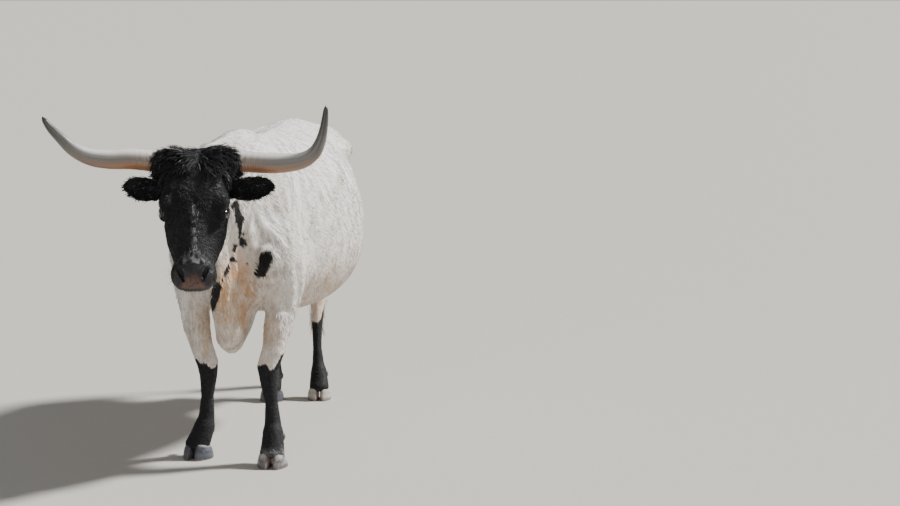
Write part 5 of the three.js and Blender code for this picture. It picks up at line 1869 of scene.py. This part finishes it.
class SteerColours(bpy.types.PropertyGroup):
    white: colour("White", "White hair", (0.80, 0.775, 0.735))
    cream: colour("Cream", "Warmer white hair", (0.76, 0.715, 0.65))
    shade: colour("Shade", "Shaded white hair", (0.56, 0.52, 0.485))
    dust: colour("Dust", "Dust in the white hair", (0.46, 0.42, 0.37))
    # Also the colour of the painted warm shade low on the barrel and belly.
    stain: colour("Stain", "Hair stained by clay", (0.60, 0.36, 0.19))
    black: colour("Black", "Black hair", (0.004, 0.0038, 0.0045))
    black_sheen: colour("Black sheen", "Black hair that catches light", (0.013, 0.013, 0.016))
    # Also the colour of the painted highlights on the brow, the bridge of the nose and the edge above the
    # muzzle.
    grey: colour("Grey", "Grey hairs of the face", (0.25, 0.25, 0.255))
    muzzle: colour("Muzzle", "Brown pink of the muzzle", (0.125, 0.066, 0.05))
    muzzle_dark: colour("Dark muzzle", "Dark bare skin of the muzzle and lids", (0.016, 0.015, 0.017))
    horn_root: colour("Horn root", "Horn next to the head", (0.27, 0.18, 0.13))
    horn: colour("Horn", "Horn half way out", (0.19, 0.175, 0.155))
    horn_grey: colour("Grey horn", "Grey fibres of the horn", (0.065, 0.066, 0.07))
    # A painted highlight on the upper side of the horn, where the light falls.
    horn_highlight: colour("Horn top", "Bleached upper side of the horn", (0.72, 0.69, 0.64))
    horn_under: colour("Horn below", "Underside near the root", (0.36, 0.15, 0.06))
    horn_tip: colour("Horn tip", "Tip of the horn", (0.04, 0.038, 0.03))
    horn_scurf: colour("Scurf", "Pale flakes at the root", (0.55, 0.50, 0.43))
    hoof: colour("Hoof", "Hoof wall", (0.08, 0.085, 0.102))
    hoof_dark: colour("Dark hoof", "Dark bands of the hoof", (0.035, 0.036, 0.042))
    hoof_pale: colour("Pale hoof", "Pale hoof wall", (0.52, 0.48, 0.42))
    cleft: colour("Cleft", "Clay in the cleft", (0.36, 0.12, 0.09))
    soil: colour("Soil", "Dust at the ground", (0.34, 0.25, 0.18))
    iris: colour("Iris", "Brown of the eye", (0.014, 0.006, 0.004))
    iris_dark: colour("Dark iris", "Darker brown of the eye", (0.005, 0.003, 0.0025))
    eye_white: colour("Eye white", "White of the eye", (0.022, 0.016, 0.014))


class SteerStudio(bpy.types.PropertyGroup):
    floor: colour("Floor", "Colour of the floor", (0.43, 0.405, 0.365))
    sky: colour("Sky", "Light from all round", (0.93, 0.96, 1.0))
    sky_strength: number("Sky strength", 0.36, "Strength of the light all round")
    key: number("Key", 8.5, "Strength of the light from the right")
    fill: number("Fill", 110, "Light from the front, in watts", "POWER")


def sizes():
    return bpy.context.scene.steer_sizes


def colours():
    return bpy.context.scene.steer_colours


class Piece:
    bl_options = {"REGISTER"}


class STEER_OT_camera(Piece, bpy.types.Operator):
    """Places the camera at the photograph's viewing angle."""

    bl_idname = "steer.camera"
    bl_label = "Camera"

    def execute(self, context):
        make_camera()
        return {"FINISHED"}


class STEER_OT_stage(Piece, bpy.types.Operator):
    """Lays the floor and hangs the studio lights."""

    bl_idname = "steer.stage"
    bl_label = "Stage"

    def execute(self, context):
        make_stage(context.scene.steer_studio)
        return {"FINISHED"}


class STEER_OT_skin(Piece, bpy.types.Operator):
    """Grows one skin over the head, neck, trunk, tail and legs."""

    bl_idname = "steer.skin"
    bl_label = "Skin"

    def execute(self, context):
        make_skin(sizes(), colours())
        return {"FINISHED"}


class STEER_OT_eyes(Piece, bpy.types.Operator):
    """Makes both eyeballs."""

    bl_idname = "steer.eyes"
    bl_label = "Eyes"

    def execute(self, context):
        material = eye_material(colours())
        for name in SIDES:
            make_eye(name, material)
        return {"FINISHED"}


class STEER_OT_horns(Piece, bpy.types.Operator):
    """Makes both horns with their growth rings."""

    bl_idname = "steer.horns"
    bl_label = "Horns"

    def execute(self, context):
        material = horn_material(colours())
        for name in SIDES:
            make_horn(name, material)
        return {"FINISHED"}


class STEER_OT_ears(Piece, bpy.types.Operator):
    """Makes both ears and the hair on them."""

    bl_idname = "steer.ears"
    bl_label = "Ears"

    def execute(self, context):
        leaf, hair = skin_material(colours()), hair_material("ear_hair", colours(), 0.5)
        for name in SIDES:
            make_ear(name, leaf, hair)
        return {"FINISHED"}


class STEER_OT_hooves(Piece, bpy.types.Operator):
    """Makes the claws and dewclaws of all four feet."""

    bl_idname = "steer.hooves"
    bl_label = "Hooves"

    def execute(self, context):
        material = hoof_material(colours())
        for end in ("fore", "hind"):
            for name in SIDES:
                for t in (1, -1):
                    make_claw(end, name, t, material)
                    make_dewclaw(end, name, t, material)
        return {"FINISHED"}


class STEER_OT_coat(Piece, bpy.types.Operator):
    """Lays the tufts of the coat on the trunk, legs and head."""

    bl_idname = "steer.coat"
    bl_label = "Coat"

    def execute(self, context):
        body = hair_material("body_hair", colours(), 0.5)
        dark = hair_material("dark_hair", colours(), 0.42)
        make_body_coat(sizes(), body)
        make_leg_coat(sizes(), dark)
        make_head_coat(sizes(), dark)
        return {"FINISHED"}


class STEER_OT_long_hair(Piece, bpy.types.Operator):
    """Makes the long hair of the poll and the switch of the tail."""

    bl_idname = "steer.long_hair"
    bl_label = "Poll and switch"

    def execute(self, context):
        make_poll_hair(sizes(), hair_material("poll_locks", colours(), 0.45))
        make_switch(hair_material("switch_locks", colours(), 0.5))
        return {"FINISHED"}


class STEER_OT_bristles(Piece, bpy.types.Operator):
    """Makes the eyelashes and the whiskers."""

    bl_idname = "steer.bristles"
    bl_label = "Lashes and whiskers"

    def execute(self, context):
        make_lashes_and_whiskers(colours())
        return {"FINISHED"}


class STEER_PT_panel(bpy.types.Panel):
    bl_idname = "STEER_PT_panel"
    bl_label = "Longhorn steer"
    bl_space_type = "VIEW_3D"
    bl_region_type = "UI"
    bl_category = "Steer"

    def draw(self, context):
        layout = self.layout
        for operator in OPERATORS:
            layout.operator(operator.bl_idname)
        for group in ("steer_sizes", "steer_colours", "steer_studio"):
            data = getattr(context.scene, group)
            for name in type(data).__annotations__:
                layout.prop(data, name)


GROUPS = {"steer_sizes": SteerSizes, "steer_colours": SteerColours, "steer_studio": SteerStudio}
OPERATORS = [
    STEER_OT_camera,
    STEER_OT_stage,
    STEER_OT_skin,
    STEER_OT_eyes,
    STEER_OT_horns,
    STEER_OT_ears,
    STEER_OT_hooves,
    STEER_OT_long_hair,
    STEER_OT_bristles,
    STEER_OT_coat,
]


def register():
    for one in (*GROUPS.values(), *OPERATORS, STEER_PT_panel):
        bpy.utils.register_class(one)
    for name, group in GROUPS.items():
        setattr(bpy.types.Scene, name, PointerProperty(type=group))


def unregister():
    for name in GROUPS:
        delattr(bpy.types.Scene, name)
    for one in reversed((*GROUPS.values(), *OPERATORS, STEER_PT_panel)):
        bpy.utils.unregister_class(one)


def main():
    register()
    for operator in OPERATORS:
        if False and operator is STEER_OT_coat:
            continue
        group, name = operator.bl_idname.split(".")
        getattr(getattr(bpy.ops, group), name)()


if __name__ == "__main__":
    main()
